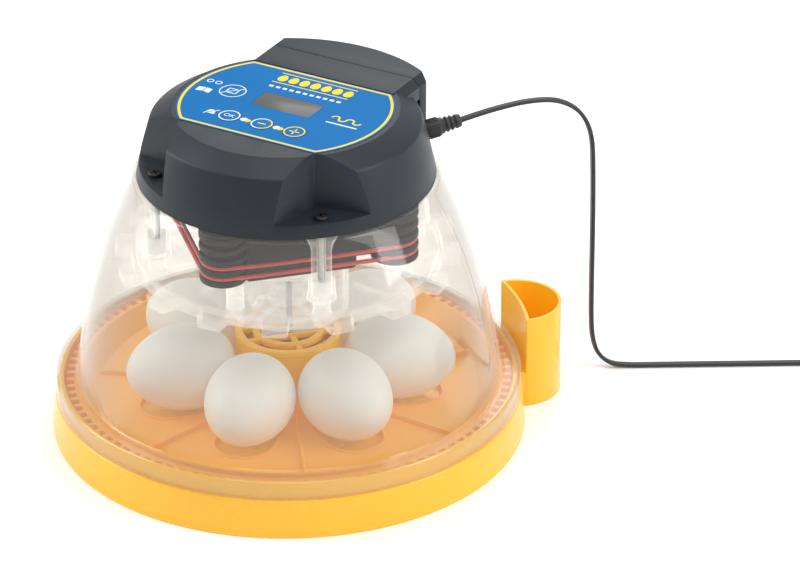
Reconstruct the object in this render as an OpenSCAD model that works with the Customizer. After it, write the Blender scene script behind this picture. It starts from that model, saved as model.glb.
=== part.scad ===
// Table-top egg incubator: a round base that turns seven eggs, under a clear
// dome that carries the heater, the fan and the control head.
// Millimetres, +Z up. The origin is on the table under the turning axis; the
// display faces -Y and the removable rear cover faces +Y.

/* [Base] */
// Outside radius of the base where it meets the table
base_r = 125; // [122:1:150]
// Height of the base's outer wall
base_h = 21; // [20:0.5:24]
// How far the outer wall leans in over its height
base_lean = 1.8; // [0.5:0.1:2]
// Wall thickness of the base moulding
base_wall = 2.2; // [1.8:0.1:2.4]
// Height of the rim that stands inside the dome's skirt
rim_h = 9; // [8:0.5:12]
// Height of the floor that the eggs roll on
floor_z = 17.7; // [17:0.1:21]
// Height of the floor of the drive trough
trough_z = 3.5; // [3:0.1:4]
// Width of the ridge that hides the motor's shaft
ridge_w = 5.4; // [5:0.1:8]
// Height of that ridge above the floor
ridge_h = 5.9; // [5.5:0.1:6.2]

/* [Egg disc] */
// Thickness of the disc
disc_t = 1.8; // [1.4:0.1:2.4]
// Gap under the disc
disc_gap = 0.3; // [0.2:0.1:0.6]
// Height of the disc's teeth
tooth_h = 2.6; // [2.2:0.1:3]
// Length of the teeth along the radius
tooth_l = 4.2; // [3.5:0.1:5]
// Distance from one tooth to the next
tooth_pitch = 7.26; // [6.8:0.02:7.8]
// Teeth on the drive pinion
pinion_teeth = 8; // [8]
// Number of egg places
eggs = 7; // [7]
// Gap between an egg and the water pot
egg_pot_gap = 2.1; // [1:0.1:4]
// Gap between two eggs, in line with their middles
egg_side_gap = 5.1; // [3:0.1:8]
// Angle of the first egg place
egg_angle = -80.2; // [-90:0.1:-70]
// Angle of the first rib
rib_angle = -54.5; // [-60:0.1:-50]
// Length and width of the hole under an egg
hole_size = [44, 30]; // [20:1:46]

/* [Eggs] */
// Length of an egg
egg_l = 59; // [48:0.5:60]
// Diameter of an egg
egg_d = 46; // [38:0.5:48]
// Lift of an egg off the floor
egg_gap = 0.3; // [0.2:0.1:0.5]

/* [Water pot and cup] */
// Radius of the central water pot, on which the disc turns
pot_r = 27.4; // [22:0.1:28]
// Wall thickness of the pot and the cup
pot_wall = 1.8; // [1.4:0.1:2.4]
// Height of the top of the pot's grille
grille_z = 53.9; // [46:0.1:60]
// Thickness of the grille
grille_t = 3; // [2.4:0.1:4]
// Radius of the refill cup
cup_r = 23.5; // [20:0.5:26]
// Height of the refill cup
cup_h = 52; // [42:0.5:60]
// Bearing gap between disc and pot
bearing_gap = 0.08; // [0.03:0.01:0.1]

/* [Dome] */
// Height of the top of the dome
dome_z = 146; // [140:1:180]
// Outside radius of the dome's top
dome_top_r = 78.8; // [76:0.2:82]
// Thickness of the dome
dome_t = 2; // [1.6:0.1:2.4]
// Width of the flange between the skirt and the dome's wall
flange_w = 10.6; // [9:0.2:13]
// Gap between a screw boss and the dome at its top
boss_gap = 2.05; // [1:0.05:3]
// Diameter of a screw boss
boss_d = 10.5; // [9:0.1:11]
// Length of a screw boss
boss_l = 36; // [32:0.5:40]
// Diameter of the long screws
screw_d = 4; // [3:0.1:4.2]

/* [Air plate] */
// Gap between the air plate's tabs and the dome
plate_gap = 4.6; // [3:0.1:6]
// Depth of the notches between the tabs
notch_d = 9; // [6:0.5:10]
// Number of tabs
tabs = 16; // [12:4:20]
// Height of the plate's edge
plate_h = 7; // [5:0.5:8]
// Radius of the air duct
duct_r = 31.8; // [30:0.1:34]
// Length of the air duct below the plate
duct_l = 28.5; // [22:0.5:30]
// Side of the square fan
fan_side = 60; // [50:5:60]
// Depth of the fan
fan_t = 15; // [10:1:16]

/* [Heater] */
// Gap between a former and the dome at its top
former_gap = 0.4; // [0.3:0.1:2]
// Radius of a former
former_r = 12.4; // [10:0.1:12.8]
// Height of a former
former_h = 30; // [24:0.5:31]
// Diameter of the heater cable
wire_d = 2.3; // [1.8:0.1:2.8]

/* [Control head] */
// Height of the head's flat top above the dome
head_h = 37.3; // [34:0.1:42]
// Step from the dome's top in to the head's lower edge
head_step = 1.2; // [0.8:0.1:2]
// Lean of the head's side, from its lower edge in to its shoulder
head_lean = 7.2; // [6:0.1:9]
// Width of the slope between the head's shoulder and its flat top
slope_w = 11.6; // [9:0.1:14]
// Wall thickness of the head
head_wall = 2.4; // [2:0.1:3]
// Margin around the membrane panel
panel_margin = 2.5; // [2:0.1:4]
// Distance from the axis to the panel's front and rear edges
panel_cut = [39.5, 38.4]; // [36:0.1:42]
// Thickness of the membrane panel
panel_t = 0.3; // [0.2:0.05:0.5]
// Distance from a screw in to its pocket's corner
pocket_in = 13.7; // [12:0.1:15]
// Half of the pocket's opening angle
pocket_angle = 58.3; // [50:0.1:62]
// Height of the pocket's floor above the dome
pocket_floor = 7.3; // [6:0.1:9]
// Half the width of the rear box
box_half = 45.6; // [43:0.1:46]
// Distance from the axis to the parting line of the rear cover
parting_y = 59.5; // [57:0.5:62]
// Overhang of the rear cover's curved back past the dome's top
cover_over = 2.2; // [1:0.1:4]

/* [Display and keys] */
// Display window's width and height
window = [34.4, 16]; // [12:0.2:40]
// Height of the window's middle on the panel
window_y = 1.5; // [0:0.1:4]
// Radius of a key
key_r = 5.9; // [5:0.1:6.2]
// Distance between keys
key_pitch = 19.2; // [17:0.1:22]
// Distance of the row of keys in front of the axis
key_y = -24; // [-28:0.5:-22]
// Travel of a key
key_travel = 0.4; // [0.3:0.1:0.6]
// Side gap around a key
key_gap = 0.3; // [0.2:0.05:0.4]

/* [Supply lead] */
// Angle at which the plug leaves the head
plug_angle = 47.5; // [40:0.5:55]
// Upward tilt of the plug
plug_tilt = 9; // [0:0.5:12]
// Diameter of the plug's grip
plug_d = 10; // [8:0.1:11]
// Length of the plug's grip
plug_l = 18.5; // [14:0.5:22]
// Height of the plug above the dome
plug_rise = 12; // [10:0.1:14]

/* [Hidden] */
$fn = 72;

// Base: radii and heights that follow from the sizes above
wall_top_r = base_r - base_lean;
skirt_gap = 0.4;
skirt_r = wall_top_r - 0.2;
skirt_in = skirt_r - dome_t;
rim_r = skirt_in - skirt_gap;
rim_in = rim_r - base_wall;
rim_z = base_h + rim_h;
tooth_gap = 0.9;
tooth_tip_r = rim_in - tooth_gap;
tooth_root_r = tooth_tip_r - tooth_l;
trough_r = tooth_root_r - tooth_gap;
ridge_z = floor_z + ridge_h;
ridge_in = trough_r - ridge_w;
slope_r = ridge_in - 5.6;
under_z = floor_z - base_wall;
foot_z = 1.5;

// Disc
disc_z = floor_z + disc_gap;
disc_r = slope_r - 0.9;
disc_lip = 0.9;
tooth_z = ridge_z + 0.8;
disc_wall_z = rim_z - 0.8;
disc_wall_r = trough_r - 3.8;
hub_r = pot_r + bearing_gap;
hub_t = 3;
hub_h = 8;
rib_t = 1.8;
rib_h = 2.7;
tooth_mid_r = (tooth_tip_r + tooth_root_r) / 2;
// A multiple of four teeth, so that quarter turns look the same
rim_teeth = 4 * round(2 * PI * tooth_mid_r / tooth_pitch / 4);

// Drive
pinion_r = tooth_mid_r * pinion_teeth / rim_teeth;
pinion_tip_r = pinion_r + 1.16;
pinion_root_r = pinion_r - 1.8;
pinion_z = tooth_z + 2.2 - pinion_tip_r;
drive_angle = 360 / rim_teeth * (round(135 * rim_teeth / 360 - 0.5) + 0.5);
shaft_d = 2.4;
nose_d = 6;
motor_d = 10;
motor_z = 9;
box_z = [foot_z + 2.1, under_z + 0.6];

// Eggs and pot
egg_place_r = max(pot_r + egg_pot_gap + egg_l / 2, (egg_d + egg_side_gap) / 2 / sin(180 / eggs));
egg_z = floor_z + egg_gap + egg_d / 2;
pot_top = grille_z - grille_t - 0.3;
cup_place_r = base_r + 1;
feed_angle = 45;
feed_d = 7;
feed_z = 8;
feed_in_r = 16;
cover_screw_r = 70;

// Dome, measured down from its top
dome_foot = rim_z + 3;
foot_r = skirt_r - flange_w;
boss_place_r = dome_top_r - dome_t - boss_gap - boss_d / 2;
boss_bottom = dome_z - boss_l;
// How far above a boss's lower end a screw stops
screw_up = 7;
screw_head_h = 2;
plate_t = 2.5;
socket_floor = 2.5;
socket_r = 7.4;
socket_h = 12;
column_l = 8;
column_r = 4.5;
plate_z = boss_bottom - socket_floor - column_l - plate_t;
plate_r = dome_at(plate_z + plate_h) - dome_t - plate_gap;
duct_bottom = plate_z - duct_l;
duct_wall = 1.8;
flange_t = 2.4;
dome_flange_in = 58;

// Heater formers, which hang between the dome's flange and the air plate's posts
former_z = dome_z - flange_t - former_h - 0.2;
ribs = 5;
rib_step = former_h / ribs;
groove_h = wire_d + 0.2;
groove_r = former_r - wire_d - 0.5;
cable_loops = 2;
former_place_r = dome_top_r - dome_t - former_gap - former_r;
post_place_r = former_place_r + 1.6;
post_angle = 6.4;

// Head
head_r = dome_top_r - head_step;
shoulder_r = head_r - head_lean;
top_r = shoulder_r - slope_w;
panel_r = top_r - panel_margin;
pocket_r = boss_place_r - pocket_in;
cover_r = dome_top_r + cover_over;
head_z = dome_z + 0.4;
shoulder_z = dome_z + head_h - 7.2;
top_z = dome_z + head_h;
floor_plate_t = 2;
pocket_z = dome_z + pocket_floor;
box_top_z = top_z + 0.7;
board_z = top_z - 11;
board_t = 1.6;
window_t = 1.5;
jack_r = 6;
plug_start = head_r - 1;

// Supply lead: a flat twin cord
cord_w = 4.2;
cord_t = 2.2;
lead_points = [[64.2, 70, 160.9], [70.9, 77.4, 162.9], [78.4, 85.5, 164.7],
    [87.8, 95.8, 166], [96.6, 105.4, 165.3], [103, 112.4, 162.2],
    [108.4, 118.3, 156.2], [112, 122.2, 147.6], [113.8, 124.2, 137],
    [114.4, 124.8, 122], [114.7, 125.1, 100], [114.8, 125.2, 75],
    [114.8, 125.3, 50], [115, 125.4, 32], [115.8, 126, 19], [118.6, 127.7, 9],
    [124.4, 131.2, 3], [133, 136.3, 1.4], [147, 144.6, 1.3],
    [170, 158.3, 1.3], [195, 173.1, 1.3], [221, 188.6, 1.3], [245.3, 203, 1.3]];
coil_at = [261, 176.5];
coil_r = [15.4, 33];
coil_h = 9.6;
adaptor_size = [42, 62, 28];
adaptor_at = [334, 140];
pin_l = 18;
// Strain relief on the adaptor
relief_l = 19;
relief_at = [7, 8];
// Direction in which the lead leaves along the table
lead_angle = 30.7;

// ---- Shared shapes ----

module ring(outer, inner, height) {
    difference() {
        cylinder(r = outer, h = height);
        translate([0, 0, -1]) cylinder(r = inner, h = height + 2);
    }
}

module around(count, radius, start = 0) {
    for (i = [0 : count - 1]) {
        rotate([0, 0, start + 360 / count * i]) translate([radius, 0, 0]) children();
    }
}

// Puts +X of a child along a radius, tilted upward
module outward(angle, radius, height, tilt = 0) {
    rotate([0, 0, angle]) translate([radius, 0, height]) rotate([0, -tilt, 0]) children();
}

// A cylinder along +X
module bar(r, length) {
    rotate([0, 90, 0]) cylinder(r = r, h = length);
}

// ---- Base ----

module base_outline() {
    polygon([[base_r, 0], [wall_top_r, base_h], [rim_r, base_h],
        [rim_r - 0.2, rim_z], [rim_in, rim_z], [rim_in, base_h - base_wall],
        [wall_top_r - base_wall, base_h - base_wall],
        [base_r - base_wall - 0.2, trough_z], [trough_r, trough_z],
        [trough_r, ridge_z], [ridge_in, ridge_z], [slope_r, floor_z],
        [0, floor_z], [0, under_z], [slope_r + 0.9, under_z],
        [ridge_in + 0.9, ridge_z - base_wall],
        [trough_r - base_wall, ridge_z - base_wall],
        [trough_r - base_wall, foot_z], [base_r - base_wall - 0.1, foot_z],
        [base_r - base_wall, 0]]);
}

module base_cone() {
    cylinder(r1 = base_r, r2 = wall_top_r, h = base_h);
}

module base_tray() {
    color("gold") difference() {
        union() {
            rotate_extrude() base_outline();
            around(4, cover_screw_r) translate([0, 0, foot_z + 1.8])
                cylinder(r = 4, h = under_z + 0.5 - foot_z - 1.8);
        }
        around(4, cover_screw_r) translate([0, 0, foot_z]) cylinder(r = 1.5, h = 11);
        translate([0, 0, under_z - 1]) cylinder(r = screw_d / 2 + 0.1, h = 5);
        outward(feed_angle, feed_in_r, under_z - 1)
            cylinder(r = feed_d / 2 + 0.1, h = 5);
        outward(feed_angle, trough_r - 4, feed_z) bar(feed_d / 2 + 0.1, 20);
        outward(drive_angle, trough_r - 4, pinion_z) bar(nose_d / 2 + 0.1, 5);
    }
}

module bottom_cover() {
    color("khaki") difference() {
        translate([0, 0, foot_z - 0.3])
            cylinder(r = trough_r - base_wall - 0.3, h = 2);
        around(4, cover_screw_r) cylinder(r = 1.8, h = 6);
    }
}

module bottom_screws() {
    color("silver") around(4, cover_screw_r) {
        translate([0, 0, 0.2]) cylinder(r = 3, h = foot_z - 0.5);
        translate([0, 0, 0.2]) cylinder(r = 1.45, h = 10);
    }
}

module water_pot() {
    color("gold") difference() {
        union() {
            translate([0, 0, floor_z]) cylinder(r = pot_r, h = pot_top - floor_z);
            outward(feed_angle, feed_in_r, under_z - 2) cylinder(r = feed_d / 2, h = 3);
        }
        translate([0, 0, floor_z + 2]) cylinder(r = pot_r - pot_wall, h = pot_top);
        outward(feed_angle, feed_in_r, under_z - 3) cylinder(r = feed_d / 2 - 1, h = 9);
        translate([0, 0, under_z]) cylinder(r = screw_d / 2 + 0.02, h = 6);
    }
    color("gold") translate([0, 0, floor_z + 2]) difference() {
        cylinder(r = 5, h = 8);
        translate([0, 0, -1]) cylinder(r = screw_d / 2 + 0.02, h = 7);
    }
}

module pot_screw() {
    color("silver") {
        translate([0, 0, under_z - 2.5]) cylinder(r = 4, h = 2.5);
        translate([0, 0, under_z - 1]) cylinder(r = screw_d / 2, h = 9);
    }
}

module wick_pad() {
    color("lightblue") translate([0, 0, floor_z + 6]) ring(pot_r - 3.4, 13, pot_top - floor_z - 12);
}

module feed_tube() {
    reach = cup_place_r + pot_wall - 0.2 - feed_in_r;
    color("gold") difference() {
        outward(feed_angle, feed_in_r, feed_z) {
            bar(feed_d / 2, reach);
            cylinder(r = feed_d / 2, h = under_z - 2 - feed_z);
            sphere(r = feed_d / 2);
        }
        outward(feed_angle, feed_in_r, feed_z) {
            bar(feed_d / 2 - 1, reach + 1);
            cylinder(r = feed_d / 2 - 1, h = 20);
        }
    }
}

module water_cup() {
    color("gold") rotate([0, 0, feed_angle]) difference() {
        translate([cup_place_r, 0, 0]) cylinder(r = cup_r, h = cup_h);
        translate([0, 0, base_h]) cylinder(r = cup_place_r, h = cup_h);
        base_cone();
        translate([0, 0, 2]) difference() {
            translate([cup_place_r, 0, 0]) cylinder(r = cup_r - pot_wall, h = cup_h);
            translate([0, 0, -1]) cylinder(r = cup_place_r + pot_wall, h = cup_h + 2);
        }
        translate([trough_r, 0, feed_z]) bar(feed_d / 2, 20);
    }
}

module turn_motor() {
    color("dimgray") outward(drive_angle, 0, 0) difference() {
        union() {
            translate([trough_r - 9, -7, box_z[0]])
                cube([6.6, 14, box_z[1] - box_z[0]]);
            translate([trough_r - 6, 0, pinion_z]) bar(nose_d / 2, 5.8);
            translate([trough_r - 34, 0, motor_z]) bar(motor_d / 2, 25.5);
            translate([trough_r - 37, 0, motor_z]) bar(2.5, 4);
        }
        translate([trough_r - 5, 0, pinion_z]) bar(shaft_d / 2 + 0.05, 8);
    }
}

// ---- Drive and disc ----

function tooth_outline(count, root, tip, root_share, tip_share) = [
    for (i = [0 : count - 1]) for (p = [[root, -root_share], [tip, -tip_share],
        [tip, tip_share], [root, root_share]])
        let (a = 360 / count * (i + p[1])) p[0] * [cos(a), sin(a)]];

module drive_pinion() {
    color("white") outward(drive_angle, tooth_root_r + 0.2, pinion_z) difference() {
        rotate([0, 90, 0]) linear_extrude(tooth_l - 0.6)
            polygon(tooth_outline(pinion_teeth, pinion_root_r, pinion_tip_r, 0.27, 0.11));
        translate([-1, 0, 0]) bar(shaft_d / 2, 8);
    }
}

module pinion_shaft() {
    color("silver") outward(drive_angle, trough_r - 4.8, pinion_z)
        bar(shaft_d / 2, tooth_root_r + tooth_l - 0.4 - trough_r + 4.8);
}

module egg_disc() {
    hub_out = hub_r + hub_t;
    disc_top = disc_z + disc_t;
    tooth_top = tooth_z + tooth_h;
    slope = (disc_wall_z - disc_top) / (disc_wall_r - disc_r);
    color("orange") {
        difference() {
            rotate_extrude() polygon([[hub_r, disc_z], [disc_r + disc_lip, disc_z],
                [disc_r + disc_lip + (tooth_z - disc_z) / slope, tooth_z],
                [tooth_root_r, tooth_z], [tooth_root_r, tooth_top],
                [disc_wall_r + 1.6, tooth_top], [disc_wall_r + 1.6, disc_wall_z],
                [disc_wall_r, disc_wall_z], [disc_r, disc_top],
                [hub_out, disc_top], [hub_out, disc_z + hub_h],
                [hub_r, disc_z + hub_h]]);
            around(eggs, egg_place_r, egg_angle) egg_hole();
        }
        around(eggs, 0, rib_angle) translate([hub_out - 1, -rib_t / 2, disc_z + 0.5])
            cube([disc_r - hub_out + 1.5, rib_t, disc_t + rib_h]);
        translate([0, 0, tooth_z]) linear_extrude(tooth_h) difference() {
            polygon(tooth_outline(rim_teeth, tooth_root_r - 0.2, tooth_tip_r, 0.24, 0.2));
            circle(r = tooth_root_r - 1, $fn = 144);
        }
    }
}

module egg_hole() {
    w = hole_size[1];
    translate([0, 0, disc_z - 1]) linear_extrude(disc_t + 2) {
        for (side = [-1, 1]) translate([side * (hole_size[0] - w) / 2, 0]) circle(d = w);
        square([hole_size[0] - w, w], center = true);
    }
}

// Half outline of an egg along its long axis, blunt end first
function egg_half(n) = [for (i = [0 : n])
    let (a = 180 - 180 / n * i, x = cos(a))
    [egg_d / 2 * sin(a) * (1 - 0.1 * x - 0.02 * x * x), egg_l / 2 * x]];

module egg(k) {
    color("whitesmoke") outward(egg_angle + 360 / eggs * (k - 1), egg_place_r, egg_z)
        rotate([0, 90, 0]) rotate_extrude() polygon(egg_half(22));
}

module pot_grille() {
    bar_y = 6.6;
    bar_w = 3;
    bar_l = 49;
    stub_l = 7.5;
    color("gold") translate([0, 0, grille_z - grille_t]) {
        ring(pot_r + 0.6, pot_r - 3.6, grille_t);
        ring(18.9, 15, grille_t);
        translate([0, 0, -3]) ring(pot_r - pot_wall - 0.3, pot_r - 3.6, 3.5);
        rotate([0, 0, 46]) {
            for (side = [-1, 1]) translate([-bar_l / 2, side * bar_y - bar_w / 2, 0])
                cube([bar_l, bar_w, grille_t]);
            for (y = [bar_y, 17, -bar_y - stub_l, -17 - stub_l])
                translate([-bar_w / 2, y, 0]) cube([bar_w, stub_l, grille_t]);
        }
    }
}

// ---- Dome and what hangs in it ----

function dome_at(z) = let (u = (z - dome_foot) / (dome_z - dome_foot))
    foot_r - 0.5 - (foot_r - 0.5 - dome_top_r) * (0.525 * u + 0.099 * u * u + 0.376 * u * u * u);

module dome() {
    n = 14;
    wall = [for (i = [0 : n]) let (z = dome_foot + (dome_z - dome_foot) / n * i) [dome_at(z), z]];
    inner = [for (i = [n : -1 : 0])
        let (z = rim_z + 0.3 + (dome_z - flange_t - rim_z - 0.3) / n * i)
        [dome_at(max(z, dome_foot)) - dome_t, z]];
    color("white", 0.25) difference() {
        union() {
            rotate_extrude() polygon(concat([[skirt_r, base_h + 0.2], [skirt_r - 0.8, rim_z + 1],
                [skirt_r - 1.4, rim_z + 1.7], [foot_r + 1, rim_z + 1.9], [foot_r, dome_foot - 0.4]],
                wall, [[dome_flange_in, dome_z], [dome_flange_in, dome_z - flange_t]], inner,
                [[skirt_in - 0.6, rim_z + 0.3], [skirt_in, rim_z - 0.4], [skirt_in, base_h + 0.2]]));
            around(4, boss_place_r, 45) translate([0, 0, boss_bottom])
                cylinder(d = boss_d, h = boss_l - 1);
        }
        around(4, boss_place_r, 45) translate([0, 0, boss_bottom + 2])
            cylinder(d = screw_d + 0.1, h = boss_l);
    }
}

// The front screws stand in the head's pockets, the rear ones on its floor
module lid_screws() {
    tip = boss_bottom + screw_up;
    seats = [dome_z + floor_plate_t, dome_z + floor_plate_t, pocket_z, pocket_z];
    color("silver") for (i = [0 : 3]) outward(45 + 90 * i, boss_place_r, tip) {
        cylinder(d = screw_d, h = seats[i] - tip);
        translate([0, 0, seats[i] - tip]) cylinder(d = screw_d + 3.4, h = screw_head_h);
    }
}

module air_plate() {
    recess_r = plate_r - notch_d;
    tab_share = 0.18;
    tab_turn = 0.16;
    rim_w = 2.4;
    slot = [12, 3];
    slot_place_r = 50;
    outline = [for (i = [0 : tabs - 1]) for (p = [[recess_r, -tab_share - 0.04],
        [plate_r, -tab_share], [plate_r, tab_share], [recess_r, tab_share + 0.04]])
        let (a = 360 / tabs * (i + p[1] + tab_turn)) p[0] * [cos(a), sin(a)]];
    floor_z = plate_z + plate_t;
    color("white", 0.4) difference() {
        union() {
            difference() {
                translate([0, 0, plate_z]) linear_extrude(plate_h) polygon(outline);
                translate([0, 0, floor_z]) cylinder(r = recess_r - rim_w, h = plate_h);
            }
            around(4, boss_place_r, 45) {
                translate([0, 0, floor_z - 1]) cylinder(r = column_r, h = column_l + 1.5);
                translate([0, 0, boss_bottom - socket_floor]) cylinder(r = socket_r, h = socket_h);
            }
            around(4, post_place_r, post_angle) translate([0, 0, floor_z - 1])
                cylinder(r = column_r, h = former_z - floor_z + 1);
        }
        around(4, boss_place_r, 45) translate([0, 0, boss_bottom]) cylinder(d = boss_d, h = socket_h);
        translate([0, 0, plate_z - 1]) cylinder(r = duct_r - duct_wall, h = plate_h + 2);
        around(12, 0, 15) translate([slot_place_r, -slot[1] / 2, plate_z - 1])
            cube([slot[0], slot[1], plate_h + 2]);
    }
}

module air_duct() {
    color("white", 0.4) translate([0, 0, duct_bottom])
        ring(duct_r, duct_r - duct_wall, plate_z - duct_bottom);
}

module duct_guard() {
    color("white", 0.4) translate([0, 0, duct_bottom + 3]) {
        ring(20.8, 19.2, 4);
        ring(10.4, 8.8, 4);
        around(6, 0, 30) translate([10, -0.8, 0]) cube([duct_r - duct_wall - 10.2, 1.6, 2.4]);
    }
}

module temp_probe() {
    probe_angle = -58;
    color("dimgray") outward(probe_angle, duct_r - duct_wall - 4, 0) {
        translate([0, 0, duct_bottom + 0.5]) cylinder(r = 2, h = 2);
        translate([0, 0, duct_bottom + 2]) cylinder(r = 1.5, h = plate_z - duct_bottom - 4);
    }
    color("dimgray") outward(probe_angle, duct_r - duct_wall - 5.5, plate_z - 6)
        translate([0, -1.5, 0]) cube([5.5, 3, 3]);
}

module heater_former() {
    web_t = 2.4;
    web_l = former_place_r * sqrt(2) - 2 * (groove_r - 1);
    color("#26262a") {
        around(4, former_place_r) translate([0, 0, former_z]) {
            cylinder(r = groove_r, h = former_h);
            for (i = [0 : ribs - 1]) translate([0, 0, rib_step * i])
                cylinder(r = former_r, h = rib_step - groove_h);
            translate([0, 0, former_h - 1.6]) cylinder(r = former_r, h = 1.6);
        }
        around(4, former_place_r / sqrt(2), 45) translate([-web_t / 2, -web_l / 2, former_z + 3])
            cube([web_t, web_l, former_h - 5]);
    }
}

module heater_wire() {
    reach = groove_r + wire_d / 2 + 0.05;
    side = former_place_r * sqrt(2);
    color("indianred") for (level = [0 : cable_loops - 1])
        translate([0, 0, former_z + rib_step * (level + 1) - groove_h / 2])
            around(4, former_place_r) {
                rotate([0, 0, -45]) rotate_extrude(angle = 90)
                    translate([reach, 0]) circle(d = wire_d, $fn = 16);
                rotate([0, 0, 45]) translate([reach, 0, 0]) rotate([-90, 0, 0])
                    cylinder(d = wire_d, h = side, $fn = 16);
            }
}

module fan_frame() {
    z0 = plate_z + plate_t + 0.1;
    color("#202022") rotate([0, 0, 45]) translate([0, 0, z0]) difference() {
        translate([-fan_side / 2, -fan_side / 2, 0]) cube([fan_side, fan_side, fan_t]);
        difference() {
            translate([0, 0, -1]) cylinder(r = fan_side / 2 - 1.5, h = fan_t + 2);
            translate([0, 0, fan_t - 2]) cylinder(r = 12, h = 2);
            for (a = [0, 120, 240]) rotate([0, 0, a]) translate([0, -1.5, fan_t - 2])
                cube([fan_side / 2, 3, 2]);
            translate([0, 0, fan_t - 9]) cylinder(r = 1.5, h = 8);
        }
        around(4, (fan_side / 2 - 5) * sqrt(2), 45) translate([0, 0, -1]) cylinder(r = 2.1, h = fan_t + 2);
    }
}

module fan_impeller() {
    z0 = plate_z + plate_t + 1.6;
    blades = 7;
    blade_lean = 38;
    color("#303034") translate([0, 0, z0]) difference() {
        union() {
            cylinder(r = 11, h = fan_t - 4.6);
            around(blades, 9) rotate([blade_lean, 0, 0]) translate([0, -5, 4.2])
                cube([fan_side / 2 - 13, 10, 1.2]);
        }
        translate([0, 0, 3]) cylinder(r = 1.55, h = fan_t);
    }
}

// ---- Control head ----

module head_outline(inset) {
    polygon([[0, head_z - 1], [head_r - inset, head_z - 1], [head_r - inset, head_z],
        [shoulder_r - inset, shoulder_z - inset * 0.45], [top_r - inset * 0.4, top_z - inset],
        [0, top_z - inset]]);
}

// Plan of a screw pocket, grown by a wall
module pocket_plan(grow) {
    reach = 40;
    start = pocket_r - grow / sin(pocket_angle);
    half = reach * tan(pocket_angle);
    polygon([[start, 0], [start + reach, half], [start + reach, -half]]);
}

module pockets(grow, z) {
    for (a = [-135, -45]) rotate([0, 0, a]) translate([0, 0, z]) linear_extrude(60) pocket_plan(grow);
}

// Plan of the rear box, from the head to its curved back
module box_plan(inset) {
    half = box_half - inset;
    intersection() {
        translate([-half, panel_cut[1] + 0.2]) square([2 * half, 80]);
        circle(r = cover_r - inset, $fn = 144);
    }
}

module box_body(inset) {
    chamfer = 4.1;
    z1 = box_top_z - inset;
    difference() {
        translate([0, 0, head_z]) linear_extrude(z1 - head_z) box_plan(inset);
        for (side = [-1, 1]) translate([side * (box_half - inset), -1, z1 - chamfer])
            rotate([0, -45, 0]) cube([20, 100, 20]);
    }
}

module head_shell() {
    color("#3c4249") difference() {
        union() {
            difference() {
                rotate_extrude() head_outline(0);
                pockets(0, pocket_z);
            }
            intersection() {
                box_body(0);
                translate([-60, 0, 0]) cube([120, parting_y, 300]);
            }
        }
        difference() {
            union() {
                rotate_extrude() head_outline(head_wall);
                intersection() {
                    box_body(head_wall);
                    translate([-60, 0, 0]) cube([120, parting_y - head_wall, 300]);
                }
            }
            pockets(head_wall, pocket_z - head_wall);
        }
        translate([0, 0, head_z - 2]) cylinder(r = 100, h = 2);
        around(4, boss_place_r, 45) translate([0, 0, head_z - 1]) cylinder(d = screw_d + 0.6, h = 8);
        translate([-window[0] / 2 - 1, window_y - window[1] / 2 - 1, board_z])
            cube([window[0] + 2, window[1] + 2, 20]);
        for (x = [-1 : 1]) translate([x * key_pitch, key_y, board_z]) cylinder(r = key_r + key_gap, h = 20);
        outward(plug_angle, 50, dome_z + plug_rise - (plug_start - 50) * tan(plug_tilt), plug_tilt)
            bar(jack_r + 0.05, 50);
        // finger notch in the side, at the parting line
        translate([box_half - 1.4, parting_y - 2.5, dome_z + 20]) cube([3, 3, 7]);
    }
}

module rear_cover() {
    color("#3c4249") difference() {
        intersection() {
            box_body(0);
            translate([-60, parting_y + 0.3, 0]) cube([120, 60, 300]);
        }
        intersection() {
            box_body(head_wall);
            translate([-60, parting_y - 5, 0]) cube([120, 60, 300]);
        }
        rotate_extrude() polygon([[0, 0], [head_r + 0.4, 0], [head_r + 0.4, head_z + 0.2],
            [shoulder_r + 0.6, shoulder_z + 0.3], [top_r + 0.6, top_z + 0.3], [0, top_z + 0.3]]);
    }
}

module head_floor() {
    color("#2e3238") difference() {
        translate([0, 0, dome_z]) cylinder(r = head_r - head_wall - 0.7, h = floor_plate_t);
        around(4, boss_place_r, 45) translate([0, 0, dome_z - 1]) cylinder(d = screw_d + 0.6, h = 8);
        translate([0, 0, dome_z - 1]) cylinder(r = 12, h = 8);
    }
}

module panel_plan(grow) {
    intersection() {
        circle(r = panel_r + grow, $fn = 144);
        translate([-100, -panel_cut[0] - grow]) square([200, panel_cut[0] + panel_cut[1] + 2 * grow]);
    }
}

module panel_label() {
    color("steelblue") translate([0, 0, top_z]) linear_extrude(panel_t) difference() {
        panel_plan(0);
        translate([-window[0] / 2, window_y - window[1] / 2]) square(window);
        for (x = [-1 : 1]) translate([x * key_pitch, key_y]) circle(r = key_r + key_gap);
    }
}

module display_window() {
    color("#8a8c80") translate([-window[0] / 2, window_y - window[1] / 2, top_z + panel_t - window_t])
        cube([window[0], window[1], window_t]);
}

module lcd_module() {
    color("darkolivegreen") translate([-window[0] / 2 - 3, window_y - window[1] / 2 - 3, board_z + board_t])
        cube([window[0] + 6, window[1] + 6, top_z - head_wall - 0.6 - board_z - board_t]);
}

module control_board() {
    color("green") difference() {
        translate([-42, -34, board_z]) cube([84, 62, board_t]);
        for (x = [-38, 38]) for (y = [-30, 24]) translate([x, y, board_z - 1]) cylinder(r = 1.6, h = 5);
    }
}

module board_screws() {
    color("silver") for (x = [-38, 38]) for (y = [-30, 24]) translate([x, y, board_z - 1.8]) {
        cylinder(r = 2.8, h = 1.8);
        cylinder(r = 1.5, h = 1.8 + board_t);
    }
}

module key_switches() {
    color("dimgray") for (x = [-1 : 1]) translate([x * key_pitch, key_y, board_z + board_t]) {
        translate([-3, -3, 0]) cube([6, 6, 3.4]);
        cylinder(r = 1.7, h = 4.4);
    }
}

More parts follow.
